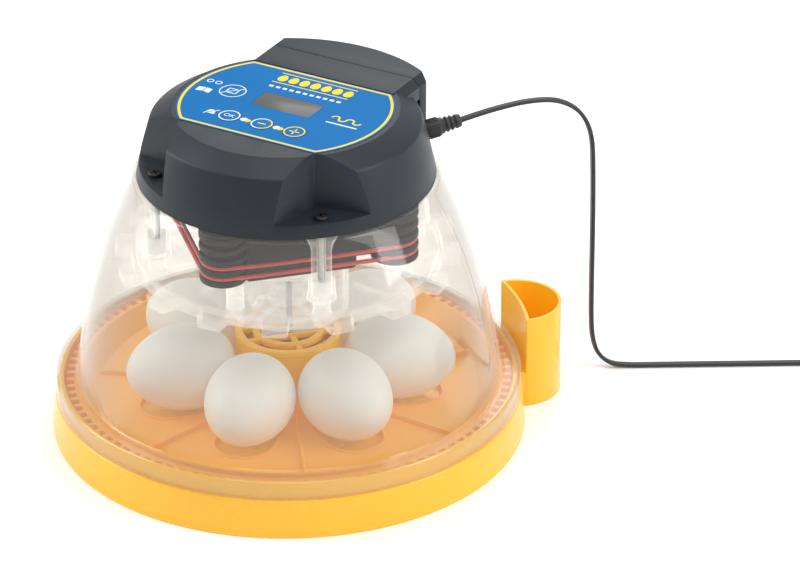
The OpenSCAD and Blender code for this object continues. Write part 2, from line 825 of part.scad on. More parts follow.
module alarm_buzzer() {
    color("black") translate([24, 12, board_z - 8]) cylinder(r = 6, h = 8);
}

module key(x) {
    z0 = board_z + board_t + 4.4 + key_travel + 0.3;
    color("white") translate([x * key_pitch, key_y, z0])
        cylinder(r = key_r, h = top_z + panel_t + 0.25 - z0);
}

module on_plug_axis() {
    outward(plug_angle, plug_start, dome_z + plug_rise, plug_tilt) children();
}

module dc_jack() {
    color("#202022") on_plug_axis() difference() {
        translate([-14, 0, 0]) bar(jack_r, 14 - 0.6);
        translate([-10, 0, 0]) bar(2.8, 30);
    }
}

module dc_plug() {
    color("#17171a") on_plug_axis() rotate([0, 90, 0]) rotate_extrude()
        polygon([[0, -9.5], [2.75, -9.5], [2.75, -0.6], [plug_d / 2, -0.6], [plug_d / 2, 7],
            [plug_d / 2 - 0.5, 8], [plug_d / 2 - 1.4, plug_l], [0, plug_l]]);
}

// ---- Supply lead ----

function unit(v) = v / norm(v);
// A point on a smooth curve through p1 and p2
function between(p0, p1, p2, p3, t) = 0.5 * (2 * p1 + (p2 - p0) * t
    + (2 * p0 - 5 * p1 + 4 * p2 - p3) * t * t + (3 * p1 - p0 - 3 * p2 + p3) * t * t * t);
function smooth(pts, steps) = let (last = len(pts) - 1) concat([for (i = [0 : last - 1])
    for (k = [0 : steps - 1]) between(pts[max(i - 1, 0)], pts[i], pts[i + 1],
        pts[min(i + 2, last)], k / steps)], [pts[last]]);
function heading(pts, i) = unit(pts[min(i + 1, len(pts) - 1)] - pts[max(i - 1, 0)]);
// The cord's flat side, carried along the route without twisting
function sides(pts, i, w) = let (t = heading(pts, i), s = unit(w - (w * t) * t))
    i == len(pts) - 1 ? [s] : concat([s], sides(pts, i + 1, s));

module flat_cord(pts) {
    n = 8;
    side = sides(pts, 0, [-sin(plug_angle), cos(plug_angle), 0]);
    rings = [for (i = [0 : len(pts) - 1]) let (t = heading(pts, i), up = cross(t, side[i]))
        for (k = [0 : n - 1]) let (a = 360 / n * (k + 0.5))
            pts[i] + side[i] * cos(a) * cord_w / 2 / cos(22.5) + up * sin(a) * cord_t / 2 / cos(22.5)];
    last = (len(pts) - 1) * n;
    walls = [for (i = [0 : len(pts) - 2]) for (k = [0 : n - 1])
        let (a = i * n + k, b = i * n + (k + 1) % n) [a, b, b + n, a + n]];
    polyhedron(rings, concat([[for (k = [0 : n - 1]) n - 1 - k]], walls,
        [[for (k = [0 : n - 1]) last + k]]), convexity = 10);
}

module cord_lead() {
    color("#17171a") flat_cord(smooth(lead_points, 2));
}

module cord_coil() {
    color("#17171a") translate([coil_at[0], coil_at[1], 0]) ring(coil_r[1], coil_r[0], coil_h);
}

module cord_tie() {
    color("gray") translate([coil_at[0], coil_at[1], 0]) rotate([0, 0, lead_angle - 60])
        translate([coil_r[0] - 1.2, -1.5, 0]) difference() {
            cube([coil_r[1] - coil_r[0] + 2.4, 3, coil_h + 1.2]);
            translate([1, -1, -1]) cube([coil_r[1] - coil_r[0] + 0.4, 5, coil_h + 1.2]);
        }
}

module on_adaptor() {
    translate([adaptor_at[0], adaptor_at[1], 0]) rotate([0, 0, lead_angle]) children();
}

module mains_adaptor() {
    w = adaptor_size[0];
    l = adaptor_size[1];
    h = adaptor_size[2];
    color("#17171a") on_adaptor() {
        translate([-w / 2, -l / 2, 0]) cube([w, l, h]);
        translate([-w / 2 + relief_at[0], l / 2, relief_at[1]]) rotate([-90, 0, 0])
            cylinder(r1 = 5, r2 = 3, h = relief_l);
    }
}

module adaptor_pins() {
    // Round pins of the common two-pole kind: 19 mm apart and 4 mm thick
    color("silver") on_adaptor() for (x = [-9.5, 9.5])
        translate([x, -adaptor_size[1] / 2 - pin_l, adaptor_size[2] / 2]) rotate([-90, 0, 0])
            cylinder(r = 2, h = pin_l);
}

base_tray();
bottom_cover();
bottom_screws();
water_pot();
pot_screw();
wick_pad();
feed_tube();
water_cup();
turn_motor();
pot_grille();
drive_pinion();
pinion_shaft();
egg_disc();
egg(1);  // egg_1
egg(2);  // egg_2
egg(3);  // egg_3
egg(4);  // egg_4
egg(5);  // egg_5
egg(6);  // egg_6
egg(7);  // egg_7
dome();
lid_screws();
air_plate();
air_duct();
duct_guard();
temp_probe();
heater_former();
heater_wire();
fan_frame();
fan_impeller();
head_floor();
head_shell();
panel_label();
display_window();
lcd_module();
control_board();
board_screws();
key_switches();
alarm_buzzer();
key(-1);  // key_ok
key(0);  // key_minus
key(1);  // key_plus
dc_jack();
rear_cover();
dc_plug();
cord_lead();
cord_coil();
cord_tie();
mains_adaptor();
adaptor_pins();
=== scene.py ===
import math

import bpy
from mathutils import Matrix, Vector


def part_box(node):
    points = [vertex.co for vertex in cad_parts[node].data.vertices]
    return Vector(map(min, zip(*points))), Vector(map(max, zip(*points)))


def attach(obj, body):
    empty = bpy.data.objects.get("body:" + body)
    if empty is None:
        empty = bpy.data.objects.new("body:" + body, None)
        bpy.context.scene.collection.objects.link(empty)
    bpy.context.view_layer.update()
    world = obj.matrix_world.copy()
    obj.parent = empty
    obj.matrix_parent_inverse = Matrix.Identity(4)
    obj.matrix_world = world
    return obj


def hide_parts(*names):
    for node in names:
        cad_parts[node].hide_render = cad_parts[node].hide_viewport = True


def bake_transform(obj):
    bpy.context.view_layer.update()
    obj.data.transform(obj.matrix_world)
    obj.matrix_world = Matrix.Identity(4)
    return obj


bl_info = {
    "name": "Egg incubator",
    "version": (1, 0, 0),
    "blender": (4, 5, 0),
    "location": "3D view > Sidebar > Incubator",
    "description": "Models a table-top egg incubator piece by piece around its CAD frame",
    "category": "Add Mesh",
}

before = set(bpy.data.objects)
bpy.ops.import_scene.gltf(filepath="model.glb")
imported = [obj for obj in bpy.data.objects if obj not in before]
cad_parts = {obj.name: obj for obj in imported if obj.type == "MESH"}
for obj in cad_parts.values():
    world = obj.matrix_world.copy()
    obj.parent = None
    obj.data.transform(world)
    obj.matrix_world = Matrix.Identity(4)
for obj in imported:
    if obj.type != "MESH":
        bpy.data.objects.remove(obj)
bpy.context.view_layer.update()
MM = 0.001


def low(node):
    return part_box(node)[0]


def high(node):
    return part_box(node)[1]


# ---- Places that the pieces share, in metres ----

BASE_R = high("base_tray").x
RIM_Z = high("base_tray").z
BASE_H = RIM_Z - 9 * MM
DOME_Z = high("dome").z
HEAD_Z = DOME_Z + 0.4 * MM
TOP_Z = low("panel_label").z
BOX_TOP = high("rear_cover").z
HEAD_R = high("head_shell").x
BOX_HALF = high("rear_cover").x
COVER_R = high("rear_cover").y
PARTING_Y = 59.5 * MM
PANEL_R = high("panel_label").x
PANEL_FRONT = low("panel_label").y
PANEL_REAR = high("panel_label").y
POT_R = high("water_pot").x
DISC_Z = low("egg_disc").z
TOOTH_TIP_R = high("egg_disc").x
EGG_PLACE_R = 59 * MM
EGG_Z = (low("egg_1").z + high("egg_1").z) / 2
EGGS = 7
RIM_TEETH = 100
EGG_ANGLE = -80.2
RIB_ANGLE = -54.5
PLATE_Z = low("air_plate").z
BOSS_R = 69.5 * MM
BOSS_Z = low("lid_screws").z - 7 * MM
FORMER_R = 64 * MM
FORMER_Z = low("heater_former").z
PLUG_ANGLE = math.radians(47.5)
PLUG_TILT = math.radians(9)
KEY_PITCH = (low("key_plus").x + high("key_plus").x) / 2
KEY_Y = (low("key_ok").y + high("key_ok").y) / 2
KEY_R = (high("key_ok").x - low("key_ok").x) / 2
FEED_ANGLE = math.radians(45)
DRIVE_ANGLE = math.radians(135)


# ---- Shader maths ----


class Val:
    """A shader socket that can be used in a Python expression."""

    def __init__(self, tree, socket):
        self.tree = tree
        self.socket = socket

    def _math(self, kind, other, flipped=False):
        node = self.tree.nodes.new("ShaderNodeMath")
        node.operation = kind
        pair = [other, self] if flipped else [self, other]
        for i, term in enumerate(pair):
            plug(self.tree, term, node.inputs[i])
        return Val(self.tree, node.outputs[0])

    def __add__(self, other):
        return self._math("ADD", other)

    def __radd__(self, other):
        return self._math("ADD", other)

    def __sub__(self, other):
        return self._math("SUBTRACT", other)

    def __rsub__(self, other):
        return self._math("SUBTRACT", other, True)

    def __mul__(self, other):
        return self._math("MULTIPLY", other)

    def __rmul__(self, other):
        return self._math("MULTIPLY", other)

    def __truediv__(self, other):
        return self._math("DIVIDE", other)

    def __pow__(self, other):
        return self._math("POWER", other)

    def above(self, other):
        return self._math("GREATER_THAN", other)


def plug(tree, value, socket):
    """Links a Val to a socket, or sets the socket to a plain value."""
    if isinstance(value, Val):
        tree.links.new(value.socket, socket)
    elif value is not None:
        socket.default_value = value


class Shader:
    """One material's node tree, with one method that adds any node."""

    def __init__(self, name):
        self.material = bpy.data.materials.new(name)
        self.material.use_nodes = True
        self.tree = self.material.node_tree
        self.tree.nodes.clear()
        self.out = self.tree.nodes.new("ShaderNodeOutputMaterial")

    def node(self, kind, settings=None, inputs=None, output=0):
        made = self.tree.nodes.new(kind)
        for key, value in (settings or {}).items():
            if key == "stops":
                self._stops(made.color_ramp, value)
            else:
                setattr(made, key, value)
        for key, value in (inputs or {}).items():
            plug(self.tree, value, made.inputs[key])
        return Val(self.tree, made.outputs[output])

    def _stops(self, ramp, stops):
        while len(ramp.elements) < len(stops):
            ramp.elements.new(0.5)
        for element, (at, colour) in zip(ramp.elements, stops):
            element.position = at
            element.color = colour

    def coords(self):
        return self.node("ShaderNodeTexCoord", output="Object")

    def noise(self, scale, detail=3.0, rough=0.55, stretch=None):
        where = self.coords()
        if stretch:
            where = self.node("ShaderNodeMapping", None, {"Vector": where, "Scale": stretch})
        return self.node(
            "ShaderNodeTexNoise",
            None,
            {"Vector": where, "Scale": scale, "Detail": detail, "Roughness": rough},
            "Fac",
        )

    def mix(self, factor, first, second):
        made = self.tree.nodes.new("ShaderNodeMix")
        made.data_type = "RGBA"
        plug(self.tree, factor, made.inputs["Factor"])
        plug(self.tree, first, made.inputs[6])
        plug(self.tree, second, made.inputs[7])
        return Val(self.tree, made.outputs[2])

    def bump(self, height, distance, strength=1.0, under=None):
        inputs = {"Height": height, "Distance": distance, "Strength": strength}
        if under is not None:
            inputs["Normal"] = under
        return self.node("ShaderNodeBump", None, inputs)

    def surface(self, **inputs):
        shader = self.node(
            "ShaderNodeBsdfPrincipled", None, {k.replace("_", " "): v for k, v in inputs.items()},
        )
        return shader

    def blend(self, factor, first, second):
        """A mix of two whole shaders."""
        made = self.tree.nodes.new("ShaderNodeMixShader")
        plug(self.tree, factor, made.inputs[0])
        plug(self.tree, first, made.inputs[1])
        plug(self.tree, second, made.inputs[2])
        return Val(self.tree, made.outputs[0])

    def finish(self, shader):
        self.tree.links.new(shader.socket, self.out.inputs["Surface"])
        return self.material


def rgba(colour, share=1.0):
    return (colour[0] * share, colour[1] * share, colour[2] * share, 1.0)


def moulded(name, colour, rough=0.3, grain=0.00002, grain_scale=2500, depth=0.86, coat=0.0, painted_glow=0.0):
    """A moulded plastic: faint flow marks, fine surface grain and a little wear in the gloss. It also glows
    faintly in its own colour, painted light that lightens its shade.
    """
    s = Shader(name)
    cloud = s.noise(18, 2.0)
    fine = s.noise(grain_scale, 2.0)
    scuff = s.noise(140, 4.0, 0.7, (1.0, 1.0, 4.0))
    tint = s.mix(cloud, rgba(colour), rgba(colour, depth))
    gloss = rough + (scuff - 0.5) * 0.14
    return s.finish(
        s.surface(
            Base_Color=tint,
            Roughness=gloss,
            Coat_Weight=coat,
            Coat_Roughness=0.08,
            # Painted light: the plastic glows in its own colour, lightening its shadows in place of light
            # passing through the translucent moulding.
            Emission_Color=rgba(colour),
            Emission_Strength=painted_glow,
            Normal=s.bump(fine, grain),
        )
    )


def spark_texture(name, colour, rough=0.42):
    """A dark moulding with the fine sparked texture of an instrument housing."""
    s = Shader(name)
    cells = s.node(
        "ShaderNodeTexVoronoi",
        {"feature": "F1"},
        {"Vector": s.coords(), "Scale": 1500.0},
        "Distance",
    )
    fine = s.noise(3200, 2.0)
    cloud = s.noise(14, 2.0)
    tint = s.mix(cloud, rgba(colour), rgba(colour, 0.84))
    return s.finish(
        s.surface(
            Base_Color=tint,
            Roughness=rough + (fine - 0.5) * 0.16,
            Specular_IOR_Level=0.35,
            Normal=s.bump(cells + fine * 0.6, 0.00004),
        )
    )


def clear_plastic(name, base=0.05, edge=0.7, rough=0.03, painted_glow=0.25, tint=(0.95, 0.945, 0.93), depth=1.0):
    """Clear moulded plastic: see-through head on, a bright mirror where it is seen edge on. Its mirror part
    glows white, painted light, and its see-through part is tinted darker edge on, painted shade.
    """
    s = Shader(name)
    facing = s.node("ShaderNodeLayerWeight", None, {"Blend": 0.5}, "Facing")
    ripple = s.noise(30, 2.0)
    body = s.surface(
        Base_Color=(0.9, 0.89, 0.87, 1.0),
        Metallic=0.6,
        Roughness=rough + ripple * 0.05,
        # Painted light: a white emission that makes the clear parts read as a bright veil.
        Emission_Color=(1.0, 0.98, 0.95, 1.0),
        Emission_Strength=painted_glow,
        Normal=s.bump(ripple, 0.00006),
    )
    share = base + (facing**4.0) * edge
    thin = s.node("ShaderNodeBsdfTransparent", None, {"Color": rgba(tint)})
    # Painted shade: the see-through part is tinted darker where it is seen edge on, for the dark edges of
    # clear plastic.
    edge_shade = s.node("ShaderNodeBsdfTransparent", None, {"Color": rgba(tint, depth)})
    return s.finish(s.blend(share, s.blend(facing**2.0, thin, edge_shade), body))


def eggshell(name, colour):
    """A white hen's egg: faint mottling, pores and a low sheen."""
    s = Shader(name)
    cloud = s.noise(45, 4.0, 0.6)
    pores = s.node(
        "ShaderNodeTexVoronoi",
        {"feature": "F1"},
        {"Vector": s.coords(), "Scale": 1100.0},
        "Distance",
    )
    pit = s.node(
        "ShaderNodeValToRGB", {"stops": [(0.0, (0, 0, 0, 1)), (0.22, (1, 1, 1, 1))]}, {"Fac": pores},
    )
    tint = s.mix(cloud, rgba(colour), rgba((colour[0] * 0.93, colour[1] * 0.915, colour[2] * 0.89)))
    lump = s.noise(220, 3.0)
    normal = s.bump(lump, 0.00009, 0.8, s.bump(pit, 0.00003))
    return s.finish(
        s.surface(
            Base_Color=tint,
            Roughness=0.46 + (cloud - 0.5) * 0.2,
            # Painted light: the shell glows faintly in its own colour, lightening its shaded side.
            Emission_Color=rgba(colour),
            Emission_Strength=0.12,
            Subsurface_Weight=0.06,
            Subsurface_Radius=(0.003, 0.002, 0.0015),
            Normal=normal,
        )
    )


def metal(name, colour, rough=0.3):
    """Plated steel with fine turning marks."""
    s = Shader(name)
    marks = s.noise(900, 3.0, 0.6, (1.0, 1.0, 9.0))
    tint = s.mix(marks, rgba(colour), rgba(colour, 0.75))
    return s.finish(
        s.surface(
            Base_Color=tint,
            Metallic=1.0,
            Roughness=rough + (marks - 0.5) * 0.2,
            Normal=s.bump(marks, 0.00002),
        )
    )


def printed(name, colour, rough=0.38):
    """Ink on the back of a satin polyester membrane."""
    s = Shader(name)
    grain = s.noise(2600, 2.0)
    cloud = s.noise(40, 2.0)
    tint = s.mix(cloud, rgba(colour), rgba(colour, 0.9))
    return s.finish(
        s.surface(
            Base_Color=tint,
            Roughness=rough + (grain - 0.5) * 0.1,
            Specular_IOR_Level=0.04,
            Normal=s.bump(grain, 0.000012),
        )
    )


def rubbery(name, colour, rough=0.5):
    """Flexible PVC or silicone, a little dusty."""
    s = Shader(name)
    dust = s.noise(420, 4.0, 0.65)
    tint = s.mix(dust, rgba(colour), rgba(colour, 1.5))
    return s.finish(
        s.surface(
            Base_Color=tint,
            Roughness=rough + (dust - 0.5) * 0.25,
            Normal=s.bump(dust, 0.00004),
        )
    )


def display_glass(name, colour):
    """The unlit display behind its window: grey-green, with faint square cells and mottling."""
    s = Shader(name)
    cells = s.node(
        "ShaderNodeTexVoronoi",
        {"feature": "F1", "distance": "CHEBYCHEV"},
        {"Vector": s.coords(), "Scale": 900.0, "Randomness": 0.0},
        "Distance",
    )
    cloud = s.noise(60, 2.0)
    tint = s.mix(cells * 0.25 + cloud * 0.4, rgba(colour), rgba(colour, 0.72))
    return s.finish(s.surface(Base_Color=tint, Roughness=0.16 + cloud * 0.08, Specular_IOR_Level=0.25))


def pad_cloth(name, colour):
    """Absorbent non-woven cloth."""
    s = Shader(name)
    fibre = s.noise(700, 5.0, 0.7, (1.0, 1.0, 0.2))
    tint = s.mix(fibre, rgba(colour), rgba(colour, 0.7))
    return s.finish(s.surface(Base_Color=tint, Roughness=0.95, Normal=s.bump(fibre, 0.0004)))


MATERIALS = {}


def finish_of(name):
    return MATERIALS[name]


# ---- Modelling helpers ----


def deselect():
    if bpy.context.object and bpy.context.object.mode != "OBJECT":
        bpy.ops.object.mode_set(mode="OBJECT")
    bpy.ops.object.select_all(action="DESELECT")


def activate(piece):
    deselect()
    piece.select_set(True)
    bpy.context.view_layer.objects.active = piece


def fillet(outline, steps=4):
    """Rounds the corners of a list of (x, y) or (x, y, radius) points."""
    out = []
    n = len(outline)
    for i, corner in enumerate(outline):
        p = Vector(corner[:2])
        radius = corner[2] if len(corner) > 2 else 0
        before = Vector(outline[i - 1][:2]) - p
        after = Vector(outline[(i + 1) % n][:2]) - p
        if radius <= 0 or before.length < 1e-9 or after.length < 1e-9:
            out.append((p.x, p.y))
            continue
        a, b = before.normalized(), after.normalized()
        half = math.acos(max(-1.0, min(1.0, a.dot(b)))) / 2
        back = min(radius / math.tan(half), before.length * 0.48, after.length * 0.48)
        start, end = p + a * back, p + b * back
        for k in range(steps + 1):
            t = k / steps
            q = start * (1 - t) ** 2 + p * (2 * t * (1 - t)) + end * t * t
            out.append((q.x, q.y))
    return out


def trace(points, name):
    """A wire that follows points in space, made by extruding one vertex along them."""
    deselect()
    bpy.ops.mesh.primitive_plane_add(size=0.001)
    piece = bpy.context.object
    piece.name = name
    piece.data.name = name
    bpy.ops.object.mode_set(mode="EDIT")
    bpy.ops.mesh.select_all(action="SELECT")
    bpy.ops.mesh.merge(type="CENTER")
    bpy.ops.transform.translate(value=points[0])
    for start, end in zip(points, points[1:]):
        step = [b - a for a, b in zip(start, end)]
        bpy.ops.mesh.extrude_vertices_move(TRANSFORM_OT_translate={"value": step})
    return piece


def closed(points):
    return list(points) + [points[0]]


def lathe(name, outline, steps=128, angle=2 * math.pi):
    """Spins a closed outline of (radius, height) points round the vertical axis."""
    wire = [(max(r, 0.0), 0.0, z) for r, z in outline]
    piece = trace(closed(wire), name)
    bpy.ops.mesh.select_all(action="SELECT")
    bpy.ops.mesh.remove_doubles(threshold=1e-7)
    bpy.ops.mesh.select_all(action="SELECT")
    bpy.ops.mesh.spin(steps=steps, angle=angle, center=(0, 0, 0), axis=(0, 0, 1))
    bpy.ops.mesh.select_all(action="SELECT")
    bpy.ops.mesh.remove_doubles(threshold=2e-6)
    bpy.ops.mesh.normals_make_consistent(inside=False)
    bpy.ops.object.mode_set(mode="OBJECT")
    return piece


def prism(name, outline, z0, z1):
    """A flat outline of (x, y) points, raised from z0 to z1."""
    piece = trace(closed([(x, y, z0) for x, y in outline]), name)
    bpy.ops.mesh.select_all(action="SELECT")
    bpy.ops.mesh.remove_doubles(threshold=1e-7)
    bpy.ops.mesh.select_all(action="SELECT")
    bpy.ops.mesh.edge_face_add()
    bpy.ops.mesh.extrude_region_move(TRANSFORM_OT_translate={"value": (0, 0, z1 - z0)})
    bpy.ops.mesh.select_all(action="SELECT")
    bpy.ops.mesh.normals_make_consistent(inside=False)
    bpy.ops.object.mode_set(mode="OBJECT")
    return piece


def place(piece, turn=(0, 0, 0), move=(0, 0, 0)):
    """Turns and moves a piece, and puts the place in its mesh."""
    activate(piece)
    piece.rotation_euler = turn
    piece.location = move
    bpy.ops.object.transform_apply(location=True, rotation=True, scale=True)
    return piece


def outward(piece, angle, radius, height, tilt=0.0):
    """Puts a piece that was modelled along +X on a radius, tilted upward."""
    place(piece, (0, -tilt, 0))
    return place(piece, (0, 0, angle), (radius * math.cos(angle), radius * math.sin(angle), height))


def copy_of(piece, name):
    activate(piece)
    bpy.ops.object.duplicate()
    twin = bpy.context.object
    twin.name = name
    twin.data.name = name
    return twin


def ring_copies(piece, count, start=0.0):
    """Copies a piece round the axis and joins the copies into one."""
    parts = [piece]
    for i in range(1, count):
        twin = copy_of(piece, piece.name + "_part")
        place(twin, (0, 0, 2 * math.pi / count * i))
        parts.append(twin)
    whole = join(parts)
    return place(whole, (0, 0, start))


def join(parts, name=None):
    deselect()
    for part in parts:
        part.select_set(True)
    bpy.context.view_layer.objects.active = parts[0]
    if len(parts) > 1:
        bpy.ops.object.join()
    whole = bpy.context.object
    if name:
        whole.name = name
        whole.data.name = name
    return whole


def modify(piece, kind, **settings):
    """Adds a modifier and applies it."""
    activate(piece)
    modifier = piece.modifiers.new(kind.lower(), kind)
    for key, value in settings.items():
        setattr(modifier, key, value)
    bpy.ops.object.modifier_apply(modifier=modifier.name)
    return piece


def soften(piece, width, segments=3, angle=35):
    modify(
        piece, "BEVEL", width=width, segments=segments, limit_method="ANGLE",
        angle_limit=math.radians(angle), harden_normals=False,
    )
    return piece


def cut(piece, tool, operation="DIFFERENCE"):
    """Cuts a piece with a tool, which is then removed."""
    modify(piece, "BOOLEAN", object=tool, operation=operation, solver="EXACT")
    bpy.data.objects.remove(tool)
    return piece


def block(name, corner, size, bevel=0.0):
    deselect()
    middle = [c + s / 2 for c, s in zip(corner, size)]
    bpy.ops.mesh.primitive_cube_add(size=1, location=middle)
    piece = bpy.context.object
    piece.name = name
    piece.data.name = name
    piece.scale = size
    bpy.ops.object.transform_apply(location=True, rotation=True, scale=True)
    if bevel:
        soften(piece, bevel)
    return piece


def drum(name, radius, z0, z1, steps=48, bevel=0.0, at=(0, 0)):
    deselect()
    bpy.ops.mesh.primitive_cylinder_add(
        vertices=steps, radius=radius, depth=z1 - z0, location=(at[0], at[1], (z0 + z1) / 2)
    )
    piece = bpy.context.object
    piece.name = name
    piece.data.name = name
    bpy.ops.object.transform_apply(location=True, rotation=True, scale=True)
    if bevel:
        soften(piece, bevel)
    return piece


def sweep(name, path, section, first_side, level=0.0):
    """A tube of a given section along a path. It isn't twisted, but level turns it flat to the table."""
    rings, side = [], Vector(first_side)
    for i, point in enumerate(path):
        ahead = (path[min(i + 1, len(path) - 1)] - path[max(i - 1, 0)]).normalized()
        side = (side - ahead * side.dot(ahead)).normalized()
        flat = Vector((-ahead.y, ahead.x, 0))
        if level and flat.length > 0.9:
            side = side.lerp(flat if flat.dot(side) > 0 else -flat, level).normalized()
        up = ahead.cross(side)
        rings.append([point + side * a + up * b for a, b in section])
    n = len(section)
    verts = [v for ring in rings for v in ring]
    faces = [
        (i * n + k, i * n + (k + 1) % n, (i + 1) * n + (k + 1) % n, (i + 1) * n + k)
        for i in range(len(rings) - 1)
        for k in range(n)
    ]
    faces.append(tuple(range(n - 1, -1, -1)))
    faces.append(tuple((len(rings) - 1) * n + k for k in range(n)))
    mesh = bpy.data.meshes.new(name)
    mesh.from_pydata(verts, [], faces)
    piece = bpy.data.objects.new(name, mesh)
    bpy.context.scene.collection.objects.link(piece)
    return piece


def circle_section(radius, n):
    return [
        (radius * math.cos(2 * math.pi * k / n), radius * math.sin(2 * math.pi * k / n)) for k in range(n)
    ]


def dress(piece, look, body, replaces=(), smooth=35):
    """Gives a finished piece its material, its shading and the body it moves with."""
    activate(piece)
    piece.data.materials.clear()
    piece.data.materials.append(finish_of(look))
    bpy.ops.object.shade_smooth_by_angle(angle=math.radians(smooth))
    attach(piece, body)
    if replaces:
        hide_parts(*replaces)
    deselect()
    return piece


def dress_node(node, look):
    """Gives a CAD node that keeps its own shape a material."""
    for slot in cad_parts[node].material_slots:
        slot.material = finish_of(look)
    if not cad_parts[node].material_slots:
        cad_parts[node].data.materials.append(finish_of(look))


def arc(radius, start, end, steps, centre=(0, 0)):
    return [
        (
            centre[0] + radius * math.cos(start + (end - start) * k / steps),
            centre[1] + radius * math.sin(start + (end - start) * k / steps),
        )
        for k in range(steps + 1)
    ]


# ---- Sizes and colours that a user would change ----


class EggIncubatorSizes(bpy.types.PropertyGroup):
    dome_thickness: bpy.props.FloatProperty(
        name="Dome thickness", description="Wall of the clear dome", default=0.002, unit="LENGTH",
    )
    edge_round: bpy.props.FloatProperty(
        name="Edge rounding", description="Rounding of moulded edges", default=0.0006, unit="LENGTH",
    )
    wire_diameter: bpy.props.FloatProperty(
        name="Heater cable", description="Diameter of the heater cable", default=0.0023, unit="LENGTH",
    )
    cord_width: bpy.props.FloatProperty(
        name="Cord width", description="Width of the flat twin cord", default=0.0042, unit="LENGTH",
    )
    cord_thickness: bpy.props.FloatProperty(
        name="Cord thickness", description="Thickness of the flat twin cord", default=0.0022, unit="LENGTH",
    )
    coil_turns: bpy.props.IntProperty(
        name="Coil turns", description="Turns of cord in each layer of the coil", default=3,
    )


class EggIncubatorColours(bpy.types.PropertyGroup):
    base: bpy.props.FloatVectorProperty(
        name="Base", description="Base moulding", subtype="COLOR", default=(0.95, 0.50, 0.014),
    )
    disc: bpy.props.FloatVectorProperty(
        name="Disc", description="Turning disc", subtype="COLOR", default=(0.90, 0.43, 0.05),
    )
    head: bpy.props.FloatVectorProperty(
        name="Head", description="Control head", subtype="COLOR", default=(0.017, 0.023, 0.031),
    )
    panel: bpy.props.FloatVectorProperty(
        name="Panel", description="Membrane panel", subtype="COLOR", default=(0.004, 0.15, 0.42),
    )
    trim: bpy.props.FloatVectorProperty(
        name="Trim", description="Panel border and symbols", subtype="COLOR", default=(0.93, 0.66, 0.03),
    )
    ink: bpy.props.FloatVectorProperty(
        name="Ink", description="White print", subtype="COLOR", default=(0.75, 0.82, 0.86),
    )
    display: bpy.props.FloatVectorProperty(
        name="Display", description="Display glass", subtype="COLOR", default=(0.10, 0.10, 0.095),
    )
    shell: bpy.props.FloatVectorProperty(
        name="Eggshell", description="Eggs", subtype="COLOR", default=(0.80, 0.79, 0.76),
    )
    cable: bpy.props.FloatVectorProperty(
        name="Heater cable", description="Silicone cable", subtype="COLOR", default=(0.55, 0.07, 0.05),
    )
    black: bpy.props.FloatVectorProperty(
        name="Black parts", description="Heater former, fan, plug", subtype="COLOR",
        default=(0.018, 0.018, 0.020),
    )
    steel: bpy.props.FloatVectorProperty(
        name="Steel", description="Screws", subtype="COLOR", default=(0.55, 0.55, 0.54),
    )


def sizes():
    return bpy.context.scene.egg_incubator_sizes


def colours():
    return bpy.context.scene.egg_incubator_colours


# ---- Stage ----


class IncubatorStage(bpy.types.Operator):
    """Adds the pale floor, the soft studio light and the camera"""

    bl_idname = "incubator.stage"
    bl_label = "Stage"

    def execute(self, context):
        scene = context.scene
        world = bpy.data.worlds.new("studio")
        scene.world = world
        world.use_nodes = True
        world.node_tree.nodes["Background"].inputs["Color"].default_value = (1.0, 1.0, 1.0, 1.0)
        world.node_tree.nodes["Background"].inputs["Strength"].default_value = 0.6
        scene.view_settings.view_transform = "Standard"

        deselect()
        bpy.ops.mesh.primitive_plane_add(size=60, location=(0, 0, 0))
        floor = context.object
        floor.name = "floor"
        s = Shader("pale_floor")
        cloud = s.noise(3.0, 2.0)
        floor.data.materials.append(
            s.finish(
                s.surface(
                    Base_Color=s.mix(cloud, (0.93, 0.93, 0.93, 1), (0.91, 0.91, 0.91, 1)),
                    Roughness=0.75,
                    Emission_Color=(1.0, 1.0, 1.0, 1.0),
                    Emission_Strength=0.1,
                )
            )
        )

        self.light("left_light", (-1.25, -0.35, 0.85), (0.45, 1.3), 10.0)
        self.light("right_light", (1.15, 0.25, 0.85), (0.45, 1.3), 9.0)
        self.light("back_light", (-0.35, 1.2, 1.2), (0.9, 0.9), 6.0)
        self.light("top_light", (0.1, -0.2, 1.7), (1.0, 1.0), 7.0)

        camera_data = bpy.data.cameras.new("camera")
        camera_data.lens = 213.93
        camera_data.sensor_width = 36
        camera_data.clip_end = 100
        camera = bpy.data.objects.new("camera", camera_data)
        scene.collection.objects.link(camera)
        camera.location = CAMERA_AT
        camera.rotation_euler = CAMERA_TURN
        scene.camera = camera
        return {"FINISHED"}

    def light(self, name, place_at, size, power):
        data = bpy.data.lights.new(name, "AREA")
        data.shape = "RECTANGLE"
        data.size = size[0]
        data.size_y = size[1]
        data.energy = power
        lamp = bpy.data.objects.new(name, data)
        bpy.context.scene.collection.objects.link(lamp)
        lamp.location = place_at
        lamp.rotation_euler = (Vector((0, 0, 0.08)) - Vector(place_at)).to_track_quat("-Z", "Y").to_euler()


# The camera looks from the front right, a little above, past the axis
VIEW_ROUND = math.radians(30.726)
VIEW_UP = math.radians(28.391)
VIEW_AWAY = 2.49267
AIM = Vector((0, 0, 0.070856))


def camera_place():
    right = Vector((math.cos(VIEW_ROUND), math.sin(VIEW_ROUND), 0))
    flat = Vector((-math.sin(VIEW_ROUND), math.cos(VIEW_ROUND), 0))
    forward = flat * math.cos(VIEW_UP) - Vector((0, 0, 1)) * math.sin(VIEW_UP)
    up = right.cross(forward)
    at = AIM - forward * VIEW_AWAY
    looking = (forward + right * 0.02357 + up * 0.00112).normalized()
    return at, looking.to_track_quat("-Z", "Y").to_euler()


CAMERA_AT, CAMERA_TURN = camera_place()


# ---- Materials ----


